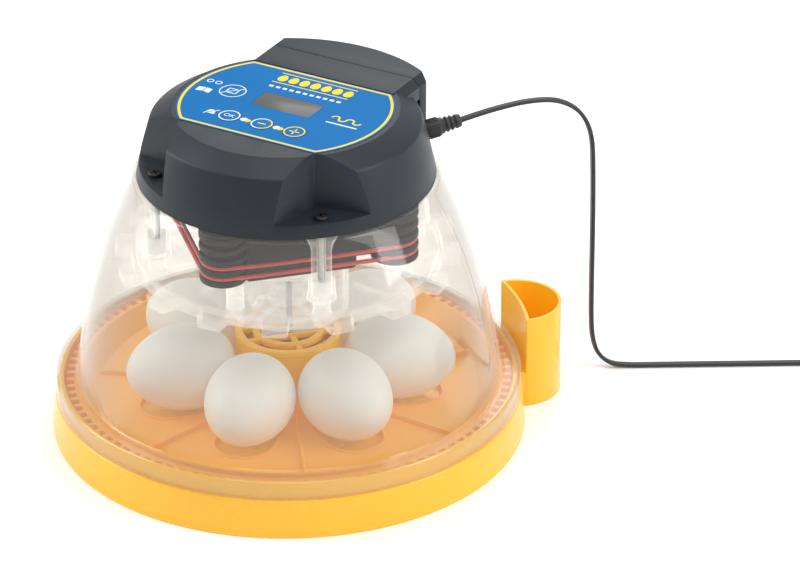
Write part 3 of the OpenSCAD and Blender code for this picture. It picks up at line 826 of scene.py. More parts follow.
class IncubatorMaterials(bpy.types.Operator):
    """Makes every material of the incubator"""

    bl_idname = "incubator.materials"
    bl_label = "Materials"

    def execute(self, context):
        c = colours()
        # Painted light: the base, disc, dome, bosses and plates are given an emission that lightens their
        # shade.
        MATERIALS.update(
            base=moulded("yellow_abs", c.base, 0.26, coat=0.3, painted_glow=0.13),
            disc=moulded("orange_abs", c.disc, 0.34, painted_glow=0.2),
            white=moulded("white_acetal", (0.8, 0.8, 0.77), 0.35),
            head=spark_texture("slate_housing", c.head),
            black=spark_texture("black_moulding", c.black, 0.46),
            gloss_black=moulded("black_gloss", c.black, 0.3),
            clear=clear_plastic("clear_dome", depth=0.72),
            boss=clear_plastic("clear_boss", 0.08, 0.7, 0.03, 0.6, (0.97, 0.97, 0.96)),
            frosted=clear_plastic("clear_plate", 0.12, 0.5, 0.10, 0.8, (0.96, 0.955, 0.945)),
            frost_edge=clear_plastic("frosted_edge", 0.2, 0.6, 0.2, 0.8, (0.96, 0.955, 0.945)),
            bright_steel=metal("bright_zinc", (0.85, 0.85, 0.84), 0.25),
            panel=printed("panel_blue", c.panel),
            trim=printed("panel_yellow", c.trim),
            ink=printed("panel_white", c.ink),
            key_white=printed("key_white", (0.62, 0.75, 0.84)),
            display=display_glass("display_glass", c.display),
            shell=eggshell("white_eggshell", c.shell),
            cable=rubbery("red_silicone", c.cable, 0.4),
            cord=rubbery("black_pvc", c.black, 0.38),
            steel=metal("zinc_plate", c.steel),
            brass=metal("brass_contact", (0.75, 0.55, 0.25)),
            board=moulded("solder_resist", (0.01, 0.13, 0.05), 0.3),
            cloth=pad_cloth("wick_cloth", (0.80, 0.48, 0.16)),
        )
        return {"FINISHED"}


# ---- Supply cord ----

# The cord's loose stretch, from the plug to the coil, in millimetres
LEAD = [
    (64.2, 70, 160.9), (70.9, 77.4, 162.9), (78.4, 85.5, 164.7),
    (87.8, 95.8, 166), (96.6, 105.4, 165.3), (103, 112.4, 162.2),
    (108.4, 118.3, 156.2), (112, 122.2, 147.6), (113.8, 124.2, 137),
    (114.4, 124.8, 122), (114.7, 125.1, 100), (114.8, 125.2, 75),
    (114.8, 125.3, 50), (115, 125.4, 32), (115.8, 126, 19), (118.6, 127.7, 9),
    (124.4, 131.2, 3), (133, 136.3, 1.4), (147, 144.6, 1.3),
    (170, 158.3, 1.3), (195, 173.1, 1.3), (221, 188.6, 1.3), (245.3, 203, 1.3),
]
COIL_AT = Vector((261, 176.5, 0)) * MM
COIL_OUT = 30.8 * MM
COIL_PITCH = 4.4 * MM
LAYER = 2.4 * MM
LEAD_Z = 1.3 * MM
TABLE_ANGLE = math.radians(30.7)


def between(p0, p1, p2, p3, t):
    return 0.5 * (
        2 * p1 + (p2 - p0) * t + (2 * p0 - 5 * p1 + 4 * p2 - p3) * t * t + (3 * p1 - p0 - 3 * p2 + p3) * t**3
    )


def smooth_path(points, steps):
    last = len(points) - 1
    out = []
    for i in range(last):
        near = [points[max(i - 1, 0)], points[i], points[i + 1], points[min(i + 2, last)]]
        out += [between(*near, k / steps) for k in range(steps)]
    return out + [points[last]]


def coil_path(turns, per_turn=40):
    """Three flat layers of turns, one on the other, and a last part turn over the top to the adaptor."""
    start = TABLE_ANGLE + math.pi / 2
    layers = 3
    total = turns * layers * per_turn
    out = []
    for i in range(1, total + 1):
        turn = i / per_turn
        layer = min(int((turn - 1e-9) / turns), layers - 1)
        share = turn / turns - layer
        wind = share * turns if layer % 2 == 0 else (1 - share) * turns
        radius = COIL_OUT - COIL_PITCH * wind
        rise = max(0.0, (share - 1) * turns * 6 + 1)
        z = LEAD_Z + LAYER * (layer + rise * rise * (3 - 2 * rise))
        angle = start - 2 * math.pi * turn
        out.append(COIL_AT + Vector((radius * math.cos(angle), radius * math.sin(angle), z)))
    across = Vector((math.cos(TABLE_ANGLE), math.sin(TABLE_ANGLE), 0))
    near = Vector((math.sin(TABLE_ANGLE), -math.cos(TABLE_ANGLE), 0))
    top = LEAD_Z + LAYER * layers
    leave = []
    for k, radius in ((0.12, 18.0), (0.25, 19.6), (0.4, 22.4), (0.56, 25.2), (0.7, 27.4), (0.84, 29.0)):
        angle = start - k * math.pi / 2
        leave.append(COIL_AT + Vector((radius * MM * math.cos(angle), radius * MM * math.sin(angle), top)))
    for right, ahead, z in (
        (30.0, 1.5, top), (30.2, 8.0, top), (30.2, 14.7, 8.0 * MM), (30.2, 34.0, 8.0 * MM),
        (30.2, 62.0, 8.0 * MM),
    ):
        leave.append(COIL_AT + across * right * MM + near * ahead * MM + Vector((0, 0, z)))
    return out + smooth_path([out[-1]] + leave, 4)[1:]


class IncubatorCord(bpy.types.Operator):
    """Adds the flat twin supply cord with its coil, tie and mains adaptor"""

    bl_idname = "incubator.cord"
    bl_label = "Supply cord"

    def execute(self, context):
        width, thick = sizes().cord_width, sizes().cord_thickness
        lead = smooth_path([Vector(p) * MM for p in LEAD], 5)
        path = lead + coil_path(sizes().coil_turns)
        lobe = thick / 2
        middle = width / 2 - lobe
        section = [
            (
                middle + lobe * math.cos(a), lobe * math.sin(a),
            ) for a in (math.radians(d) for d in range(-120, 121, 40))
        ]
        section += [(-x, -y) for x, y in section]
        cord = sweep("supply_cord", path, section, (-math.sin(PLUG_ANGLE), math.cos(PLUG_ANGLE), 0), 0.4)
        activate(cord)
        cord.data.materials.append(finish_of("cord"))
        bpy.ops.object.shade_smooth_by_angle(angle=math.radians(70))
        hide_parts("cord_lead", "cord_coil")
        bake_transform(cord)
        length = sum((b - a).length for a, b in zip(path, path[1:]))
        pieces = [self.plug(), self.tie(), self.adaptor(), self.pins()]
        return {"FINISHED"}

    def plug(self):
        outline = [
            (0, -9.5), (2.75, -9.5, 0.4), (2.75, -0.6), (4.6, -0.6, 0.5), (5.0, 0.2, 0.3), (5.0, 6.5, 0.3),
            (4.5, 7.2, 0.3),
        ]
        for k in range(3):
            at = 8.6 + 2.6 * k
            outline += [
                (4.4 - 0.25 * k, at, 0.2), (3.6 - 0.2 * k, at + 0.5, 0.2), (3.6 - 0.2 * k, at + 1.3, 0.2),
                (4.3 - 0.25 * k, at + 1.8, 0.2),
            ]
        outline += [(3.4, 18.5, 0.8), (0, 18.5)]
        plug_piece = lathe(
            "dc_plug_grip",
            fillet([(p[0] * MM, p[1] * MM) + tuple(v * MM for v in p[2:]) for p in outline]), 48,
        )
        flutes = []
        for k in range(24):
            flute = block(
                "flute", (4.75 * MM, -0.25 * MM, 0.6 * MM), (0.6 * MM, 0.5 * MM, 5.4 * MM), 0.00012,
            )
            flutes.append(place(flute, (0, 0, 2 * math.pi / 24 * k)))
        plug_piece = join([plug_piece] + flutes, "dc_plug_grip")
        place(plug_piece, (0, math.pi / 2, 0))
        outward(plug_piece, PLUG_ANGLE, HEAD_R - MM, DOME_Z + 12 * MM, PLUG_TILT)
        return dress(plug_piece, "cord", "lid", ["dc_plug"])

    def tie(self):
        lo, hi = 14.6 * MM, 33.9 * MM
        outline = fillet(
            [(lo, 0.0004, 0.001), (hi, 0.0004, 0.001), (hi, 0.0104, 0.002), (lo, 0.0104, 0.002)], 5,
        )
        inner = fillet(
            [
                (lo + 0.7 * MM, 0.0009, 0.001), (hi - 0.7 * MM, 0.0009, 0.001),
                (hi - 0.7 * MM, 0.0097, 0.0016), (lo + 0.7 * MM, 0.0097, 0.0016),
            ],
            5,
        )
        band = prism("cord_tie_band", outline, -1.6 * MM, 1.6 * MM)
        cut(band, prism("hollow", inner, -3 * MM, 3 * MM))
        place(band, (math.pi / 2, 0, 0))
        place(band, (0, 0, TABLE_ANGLE - math.radians(60)), COIL_AT)
        soften(band, 0.0002, 2)
        return dress(band, "black", "base", ["cord_tie"])

    def adaptor(self):
        w, l, h = 42 * MM, 62 * MM, 28 * MM
        body = block("mains_adaptor_body", (-w / 2, -l / 2, 0), (w, l, h), 0.0035)
        groove = block("groove", (-w, -l / 2 + 9 * MM, -h), (2 * w, 0.6 * MM, 3 * h))
        shell = block("kept", (-w / 2 + 0.5 * MM, -l / 2, 0.5 * MM), (w - MM, l, h - MM), 0.0032)
        cut(groove, shell)
        cut(body, groove)
        plate = block(
            "rating", (-w / 2 + 8 * MM, -l / 2 + 17 * MM, h - 0.3 * MM), (w - 16 * MM, l - 30 * MM, MM),
            0.0,
        )
        cut(body, plate)
        ribs = []
        for k in range(5):
            at = (1.2 + 3.5 * k) * MM
            ribs.append(drum("relief_rib", (4.8 - 0.36 * k) * MM, at, at + 2.2 * MM, 32, 0.0004))
        ribs.append(drum("relief_core", 2.7 * MM, -2 * MM, 19 * MM, 32, 0.0005))
        relief = join(ribs, "relief")
        place(relief, (-math.pi / 2, 0, 0), (-w / 2 + 7 * MM, l / 2, 8 * MM))
        body = join([body, relief], "mains_adaptor_body")
        place(body, (0, 0, TABLE_ANGLE), (334 * MM, 140 * MM, 0))
        return dress(body, "black", "base", ["mains_adaptor"])

    def pins(self):
        pins = []
        for x in (-9.5 * MM, 9.5 * MM):
            pins.append(drum("pin", 2 * MM, -18 * MM, 0, 32, 0.0008, (x, 0)))
        whole = join(pins, "mains_pins")
        place(whole, (-math.pi / 2, 0, 0))
        place(whole, (0, 0, 0), (0, -31 * MM, 14 * MM))
        place(whole, (0, 0, TABLE_ANGLE), (334 * MM, 140 * MM, 0))
        return dress(whole, "steel", "base", ["adaptor_pins"])


# ---- Base ----


def mm(points):
    """Turns (x, y) or (x, y, radius) points from millimetres into metres."""
    return [tuple(v * MM for v in p) for p in points]


class IncubatorBase(bpy.types.Operator):
    """Adds the base tray, its bottom cover and the refill cup"""

    bl_idname = "incubator.base"
    bl_label = "Base"

    def execute(self, context):
        self.tray()
        self.cup()
        self.pot()
        self.hidden_parts()
        return {"FINISHED"}

    def tray(self):
        r, h, z = BASE_R / MM, BASE_H / MM, RIM_Z / MM
        top = r - 1.8
        rim = 120.6
        outline = mm([
            (r - 0.1, 0, 0.5), (r, 1.2, 0.4), (top + 0.05, h - 0.5, 0.9), (top - 0.6, h, 0.6), (rim, h, 0.3),
            (rim - 0.2, z, 0.8), (rim - 2.2, z, 0.8), (rim - 2.2, h - 2.2, 0.5), (top - 2.2, h - 2.2, 0.6),
            (r - 2.4, 3.5, 1.2), (112.4, 3.5, 1.2), (112.4, 23.6, 0.7), (107, 23.6, 1.0), (101.4, 17.7, 1.5),
            (0, 17.7), (0, 15.5), (102.3, 15.5), (107.9, 21.4), (110.2, 21.4), (110.2, 1.5),
            (r - 2.3, 1.5), (r - 2.2, 0.1, 0.4),
        ])
        tray = lathe("base_tray_shell", fillet(outline, 4), 180)
        shaft_z = (low("pinion_shaft").z + high("pinion_shaft").z) / 2
        for angle, start, z, radius, length in (
            (DRIVE_ANGLE, 108.4 * MM, shaft_z, 3.1 * MM, 5 * MM),
            (FEED_ANGLE, 108.4 * MM, 8 * MM, 3.6 * MM, 8 * MM),
        ):
            hole = drum("wall_hole", radius, 0, length, 48)
            place(hole, (0, math.pi / 2, 0))
            cut(tray, outward(hole, angle, start, z))
        dress(tray, "base", "base", ["base_tray"])

    def cup(self):
        centre = 126 * MM
        floor = 2 * MM
        height = high("water_cup").z

        def crescent(radius, inner, corner):
            cos_a = (centre**2 + inner**2 - radius**2) / (2 * centre * inner)
            half = math.acos(cos_a)
            tip = Vector((inner * math.cos(half), inner * math.sin(half)))
            start = math.atan2(tip.y, tip.x - centre)
            outer = arc(radius, -start, start, 56, (centre, 0))
            back = arc(inner, half, -half, 24)
            points = [tuple(p) for p in outer[:-1]] + [tuple(p) for p in back[:-1]]
            points[0] = (*points[0], corner)
            points[56] = (*points[56], corner)
            return fillet(points, 4)

        upper = prism("refill_cup", crescent(23.5 * MM, 126 * MM, 3 * MM), 0, height)
        hollow = prism("hollow", crescent(21.7 * MM, 127.8 * MM, 2 * MM), floor, height + 5 * MM)
        cut(upper, hollow)
        soften(upper, 0.0006, 3, 50)
        foot = drum("refill_foot", 23.4 * MM, 0.2 * MM, BASE_H - 0.6 * MM, 96, 0.0, (centre, 0))
        keep = lathe(
            "keep", mm([(124.9, -5), (160, -5), (160, 40), (123.3, 40), (123.3, BASE_H / MM)]), 180,
        )
        cut(foot, keep, "INTERSECT")
        inside = lathe("inside", mm([(126.4, -5), (160, -5), (160, 40), (126.4, 40)]), 180)
        cut(foot, inside)
        place(upper, (0, 0, FEED_ANGLE))
        place(foot, (0, 0, FEED_ANGLE))
        dress(upper, "base", "base", ["water_cup"])
        dress(foot, "base", "base")

    def pot(self):
        r = POT_R / MM
        top = high("water_pot").z / MM
        outline = mm(
            [(0, 17.7), (r, 17.7, 0.5), (r, top, 0.6), (r - 1.8, top, 0.6), (r - 1.8, 19.7, 1.5), (0, 19.7)]
        )
        pot = lathe("water_pot_cup", fillet(outline), 96)
        dress(pot, "base", "base", ["water_pot"])
        pad = lathe(
            "wick_roll", fillet(mm([(14.4, 23.7, 1), (23.9, 23.7, 1), (23.9, 44.5, 1), (14.4, 44.5, 1)])),
            72,
        )
        modify(pad, "SUBSURF", levels=1, render_levels=1)
        dress(pad, "cloth", "base", ["wick_pad"])

    def hidden_parts(self):
        for node, look in (
            ("bottom_cover", "base"), ("bottom_screws", "steel"), ("pot_screw", "steel"),
            ("feed_tube", "base"), ("turn_motor", "gloss_black"), ("pinion_shaft", "steel"),
            ("drive_pinion", "white"),
        ):
            dress_node(node, look)


class IncubatorGrille(bpy.types.Operator):
    """Adds the grille that covers the water pot"""

    bl_idname = "incubator.grille"
    bl_label = "Pot grille"

    def execute(self, context):
        top = high("pot_grille").z / MM
        under = top - 3
        parts = [
            lathe(
                "rim", fillet(mm([(23.8, under, 0.4), (28, under, 0.4), (28, top, 0.9), (23.8, top, 0.7)])),
                128,
            ),
            lathe(
                "collar",
                fillet(
                    mm(
                        [
                            (23.9, under - 3, 0.3), (25.2, under - 3, 0.3), (25.2, under + 0.4),
                            (23.9, under + 0.4),
                        ]
                    )
                ),
                96,
            ),
            lathe(
                "inner_rim",
                fillet(mm([(15, under, 0.3), (18.9, under, 0.3), (18.9, top, 0.8), (15, top, 0.8)])), 96,
            ),
        ]
        for side in (-1, 1):
            half = math.sqrt(24.6**2 - 6.6**2) * MM
            parts.append(
                block(
                    "bar", (-half, (side * 6.6 - 1.5) * MM, under * MM), (2 * half, 3 * MM, 2.95 * MM),
                    0.0007,
                )
            )
            for start, length in ((7.6, 7.8), (18.0, 6.4)):
                y = start if side > 0 else -start - length
                parts.append(
                    block("spoke", (-1.5 * MM, y * MM, under * MM), (3 * MM, length * MM, 2.9 * MM), 0.0007)
                )
        for part in parts[3:]:
            place(part, (0, 0, math.radians(46)))
        whole = join(parts, "pot_grille_cover")
        dress(whole, "base", "grille", ["pot_grille"])
        return {"FINISHED"}


# ---- Turning disc and eggs ----


class IncubatorDisc(bpy.types.Operator):
    """Adds the turning disc with its egg places, ribs and toothed rim"""

    bl_idname = "incubator.disc"
    bl_label = "Turning disc"

    def execute(self, context):
        z = DISC_Z / MM
        hub = POT_R / MM + 0.08
        tip = TOOTH_TIP_R / MM
        root = tip - 4.2
        outline = mm([
            (hub, z, 0.2), (101.4, z, 0.8), (106.9, 24.4, 0.8), (root, 24.4), (root, 27, 0.4),
            (110.2, 27, 0.5),
            (110.2, 29.2, 0.7), (108.6, 29.2, 0.7), (100.5, z + 1.8, 1.5), (hub + 3, z + 1.8, 0.8),
            (hub + 3, z + 8, 0.7), (hub, z + 8, 0.5),
        ])
        disc = lathe("turning_disc", fillet(outline), 210)
        self.holes(disc)
        parts = [disc]
        parts += self.ribs(z, hub)
        parts.append(self.teeth(root, tip))
        parts += self.hole_rims(z)
        whole = join(parts, "turning_disc")
        dress(whole, "disc", "disc", ["egg_disc"])
        return {"FINISHED"}

    def slot_outline(self, grow):
        w = 15 + grow
        reach = 7
        turn = math.pi / 2
        right = arc(w * MM, -turn, turn, 20, (reach * MM, 0))
        left = arc(w * MM, turn, 3 * turn, 20, (-reach * MM, 0))
        return right + left

    def holes(self, disc):
        for k in range(EGGS):
            tool = prism("hole", self.slot_outline(0), DISC_Z - 3 * MM, DISC_Z + 5 * MM)
            outward(tool, math.radians(EGG_ANGLE + 360 / EGGS * k), EGG_PLACE_R, 0)
            cut(disc, tool)

    def hole_rims(self, z):
        """A low rounded bead round each egg place."""
        rims = []
        for k in range(EGGS):
            bead = prism("bead", self.slot_outline(1.6), (z + 1.6) * MM, (z + 2.5) * MM)
            hole = prism("hole", self.slot_outline(0.05), (z + 1) * MM, (z + 4) * MM)
            cut(bead, hole)
            soften(bead, 0.00035, 2)
            outward(bead, math.radians(EGG_ANGLE + 360 / EGGS * k), EGG_PLACE_R, 0)
            rims.append(bead)
        return rims

    def ribs(self, z, hub):
        ribs = []
        for k in range(EGGS):
            rib = block(
                "rib", ((hub + 2) * MM, -0.9 * MM, (z + 1) * MM),
                ((101.2 - hub - 2) * MM, 1.8 * MM, 3.4 * MM), 0.0005,
            )
            ribs.append(place(rib, (0, 0, math.radians(RIB_ANGLE + 360 / EGGS * k))))
        return ribs

    def teeth(self, root, tip):
        tooth = block(
            "tooth", ((root - 0.6) * MM, -1.7 * MM, 24.4 * MM),
            ((tip - root + 0.6) * MM, 3.1 * MM, 2.6 * MM), 0.0004,
        )
        place(tooth, (0, 0, 0), (0, 0.15 * MM, 0))
        return modify_array(tooth, RIM_TEETH)


def modify_array(piece, count):
    """Repeats a piece round the axis."""
    copies = [piece]
    for k in range(1, count):
        twin = piece.copy()
        twin.data = piece.data.copy()
        bpy.context.scene.collection.objects.link(twin)
        twin.rotation_euler = (0, 0, 2 * math.pi / count * k)
        copies.append(twin)
    deselect()
    for twin in copies:
        twin.select_set(True)
    bpy.context.view_layer.objects.active = piece
    bpy.ops.object.transform_apply(location=True, rotation=True, scale=True)
    bpy.ops.object.join()
    return bpy.context.object


class IncubatorEggs(bpy.types.Operator):
    """Adds the seven eggs, one on each roll axis"""

    bl_idname = "incubator.eggs"
    bl_label = "Eggs"

    def execute(self, context):
        length, width = 59 * MM, 46 * MM
        steps = 28
        outline = []
        for i in range(steps + 1):
            a = math.pi - math.pi * i / steps
            x = math.cos(a)
            outline.append((width / 2 * math.sin(a) * (1 - 0.1 * x - 0.02 * x * x), length / 2 * x))
        for k in range(EGGS):
            egg = lathe(f"hen_egg_{k + 1}", outline, 64)
            modify(egg, "SUBSURF", levels=1, render_levels=1)
            place(egg, (0, math.pi / 2, 0))
            outward(egg, math.radians(EGG_ANGLE + 360 / EGGS * k), EGG_PLACE_R, EGG_Z)
            dress(egg, "shell", f"egg_body_{k + 1}", [f"egg_{k + 1}"], 60)
        return {"FINISHED"}


# ---- Dome and the parts in it ----


def dome_radius(z):
    foot = RIM_Z + 3 * MM
    u = (z - foot) / (DOME_Z - foot)
    start = 111.9 * MM
    return start - (start - 78.8 * MM) * (0.525 * u + 0.099 * u * u + 0.376 * u**3)


class IncubatorDome(bpy.types.Operator):
    """Adds the clear dome with its skirt, flange and four screw bosses"""

    bl_idname = "incubator.dome"
    bl_label = "Clear dome"

    def execute(self, context):
        t = sizes().dome_thickness
        rim = RIM_Z / MM
        foot = rim + 3
        steps = 26
        zs = [foot * MM + (DOME_Z - 2.4 * MM - foot * MM) * i / steps for i in range(steps + 1)]
        outer = [(dome_radius(z), z) for z in zs]
        inner = [(dome_radius(z) - t, z) for z in reversed(zs)]
        top = DOME_Z / MM
        skirt = mm([
            (123, 21.25, 0.3), (122.4, rim + 1, 1.0), (121.2, rim + 1.75, 1.0), (114, rim + 1.9, 0.8),
            (112.7, rim + 2.4, 0.2),
        ])
        flange = mm([
            (dome_radius(DOME_Z - 1.2 * MM) / MM, top - 1.2), (78.9, top - 0.9, 0.1), (78.8, top, 0.4),
            (58, top, 0.4), (58, top - 2.4, 0.4), (76.2, top - 2.4, 0.3),
        ])
        inside = mm([
            (109.9, rim + 0.9, 0.1), (110.4, rim + 0.3, 0.3), (120.4, rim + 0.3, 0.4), (121, rim - 0.4, 0.4),
            (121, 21.25, 0.3),
        ])
        # One fillet over the whole closed outline, so that its ends don't bend into the base's rim
        outline = fillet(skirt + outer + flange + inner[1:] + inside)
        dome = lathe("clear_dome", outline, 192)
        dress(dome, "clear", "lid", ["dome"], 40)
        self.bosses()
        self.screws()
        return {"FINISHED"}

    def bosses(self):
        end = BOSS_Z / MM
        top = DOME_Z / MM - 2.2
        outline = mm([
            (2.3, end + 2), (2.3, top), (8.4, top), (6.4, top - 4, 2.0), (5.25, top - 8, 2.0),
            (5.25, end, 0.5),
            (0, end), (0, end + 2),
        ])
        boss = lathe("screw_bosses", fillet(outline), 40)
        place(boss, (0, 0, 0), (BOSS_R, 0, 0))
        whole = ring_copies(boss, 4, math.radians(45))
        dress(whole, "boss", "lid")

    def screws(self):
        """The front pair's heads stand in the head's pockets, the rear pair's on its floor."""
        front = high("lid_screws").z
        rear = DOME_Z + 4 * MM
        shanks, heads = [], []
        for angle, top in ((45, rear), (135, rear), (225, front), (315, front)):
            shanks.append(self.shank(top - 2 * MM))
            heads.append(self.screw_head(top))
            outward(shanks[-1], math.radians(angle), BOSS_R, 0)
            outward(heads[-1], math.radians(angle), BOSS_R, 0)
        dress(join(shanks, "long_screws"), "bright_steel", "lid", ["lid_screws"])
        dress(join(heads, "screw_heads"), "gloss_black", "lid")

    def screw_head(self, top):
        head = drum("screw_heads", 3.7 * MM, top - 2 * MM, top, 32, 0.0005)
        for a in (0, 90):
            slot = block("slot", (-2.4 * MM, -0.4 * MM, top - 1.2 * MM), (4.8 * MM, 0.8 * MM, 3 * MM))
            cut(head, place(slot, (0, 0, math.radians(a))))
        return head

    def shank(self, top):
        """A threaded rod from the screws' tip up to its head."""
        foot = low("lid_screws").z
        core, crest, pitch = 1.4 * MM, 2.0 * MM, 1.25 * MM
        turns = int((top - 10 * MM - foot) / pitch)
        n = 14
        verts, faces = [], []
        for i in range(turns * n + 1):
            a = 2 * math.pi * i / n
            for r, dz in ((core, -0.5), (crest, -0.12), (crest, 0.12), (core, 0.5)):
                verts.append((r * math.cos(a), r * math.sin(a), foot + pitch * (i / n + 0.6) + dz * pitch))
        for i in range(turns * n):
            for k in range(3):
                a = i * 4 + k
                faces.append((a, a + 4, a + 5, a + 1))
        mesh = bpy.data.meshes.new("thread")
        mesh.from_pydata(verts, [], faces)
        thread = bpy.data.objects.new("thread", mesh)
        bpy.context.scene.collection.objects.link(thread)
        return join([drum("shank", core + 0.02 * MM, foot, top, 24, 0.0003), thread], "long_screws")


class IncubatorAirPlate(bpy.types.Operator):
    """Adds the notched air plate, the duct, its guard and the temperature probe"""

    bl_idname = "incubator.air_plate"
    bl_label = "Air plate"

    def execute(self, context):
        z = PLATE_Z / MM
        tabs = 16
        outer, inner = 90.0, 81.0
        share = 0.18
        edge = []
        for k in range(tabs):
            for r, s in ((inner, -share - 0.04), (outer, -share), (outer, share), (inner, share + 0.04)):
                a = 2 * math.pi / tabs * (k + s + 0.16)
                edge.append((r * math.cos(a) * MM, r * math.sin(a) * MM, 1.6 * MM))
            for s in (0.36, 0.5, 0.64):
                a = 2 * math.pi / tabs * (k + s + 0.16)
                edge.append((inner * math.cos(a) * MM, inner * math.sin(a) * MM))
        plate = prism("notched_plate", fillet(edge, 3), z * MM, (z + 7) * MM)
        cut(plate, drum("hollow", 78.6 * MM, (z + 2.5) * MM, (z + 20) * MM, 128))
        cut(plate, drum("opening", 30 * MM, (z - 5) * MM, (z + 20) * MM, 96))
        for k in range(12):
            slot = block("slot", (50 * MM, -1.5 * MM, (z - 2) * MM), (12 * MM, 3 * MM, 9 * MM), 0.0012)
            cut(plate, place(slot, (0, 0, math.radians(15 + 30 * k))))
        soften(plate, 0.0005, 2, 50)
        dress(plate, "frosted", "lid", ["air_plate"])
        self.sockets(z)
        self.posts(z)
        duct = lathe(
            "air_duct_wall",
            fillet(mm([(30, z - 28.5, 0.5), (31.8, z - 28.5, 0.5), (31.8, z - 0.1), (30, z - 0.1)])), 128,
        )
        dress(duct, "frosted", "lid", ["air_duct"])
        self.guard(z - 28.5)
        self.probe(z)
        return {"FINISHED"}

    def sockets(self, z):
        cup = BOSS_Z / MM - 2.5
        outline = fillet(mm([
            (0, z + 2.4), (5.2, z + 2.4), (4.5, z + 3.6, 0.8), (4.5, cup, 0.3), (7.7, cup, 0.9),
            (7.0, cup + 5, 2.0),
            (6.8, cup + 12, 0.5), (5.4, cup + 12, 0.4), (5.4, cup + 2.5), (0, cup + 2.5),
        ]))
        socket = lathe("boss_sockets", outline, 40)
        place(socket, (0, 0, 0), (BOSS_R, 0, 0))
        dress(ring_copies(socket, 4, math.radians(45)), "frost_edge", "lid")

    def posts(self, z):
        top = FORMER_Z / MM - 0.1
        outline = fillet(mm([(0, z + 2.4), (5, z + 2.4), (4.5, z + 3.4, 0.6), (4.3, top, 0.4), (0, top)]))
        post = lathe("former_posts", outline, 32)
        place(post, (0, 0, 0), (FORMER_R + 1.6 * MM, 0, 0))
        dress(ring_copies(post, 4, math.radians(6.4)), "frost_edge", "lid")

    def guard(self, z):
        rings = [
            lathe(
                "guard_ring",
                fillet(
                    mm([(19.2, z + 3, 0.5), (20.8, z + 3, 0.5), (20.8, z + 7, 0.5), (19.2, z + 7, 0.5)])
                ),
                96,
            ),
            lathe(
                "guard_ring",
                fillet(mm([(8.8, z + 3, 0.5), (10.4, z + 3, 0.5), (10.4, z + 7, 0.5), (8.8, z + 7, 0.5)])),
                72,
            ),
        ]
        for k in range(6):
            spoke = block(
                "spoke", (10 * MM, -0.8 * MM, (z + 3) * MM), (20 * MM, 1.6 * MM, 2.4 * MM), 0.0004,
            )
            rings.append(place(spoke, (0, 0, math.radians(30 + 60 * k))))
        dress(join(rings, "air_guard"), "frost_edge", "lid", ["duct_guard"])

    def probe(self, z):
        tip = drum("probe_tip", 2 * MM, (z - 28) * MM, (z - 25.6) * MM, 24, 0.0008)
        stem = drum("probe_stem", 1.5 * MM, (z - 26) * MM, (z - 2.2) * MM, 24, 0.0004)
        arm = block("probe_arm", (-1.4 * MM, -1.5 * MM, (z - 6) * MM), (5.3 * MM, 3 * MM, 3 * MM), 0.0006)
        probe = join([tip, stem, arm], "air_probe")
        outward(probe, math.radians(-58), 26 * MM, 0)
        dress(probe, "black", "lid", ["temp_probe"])


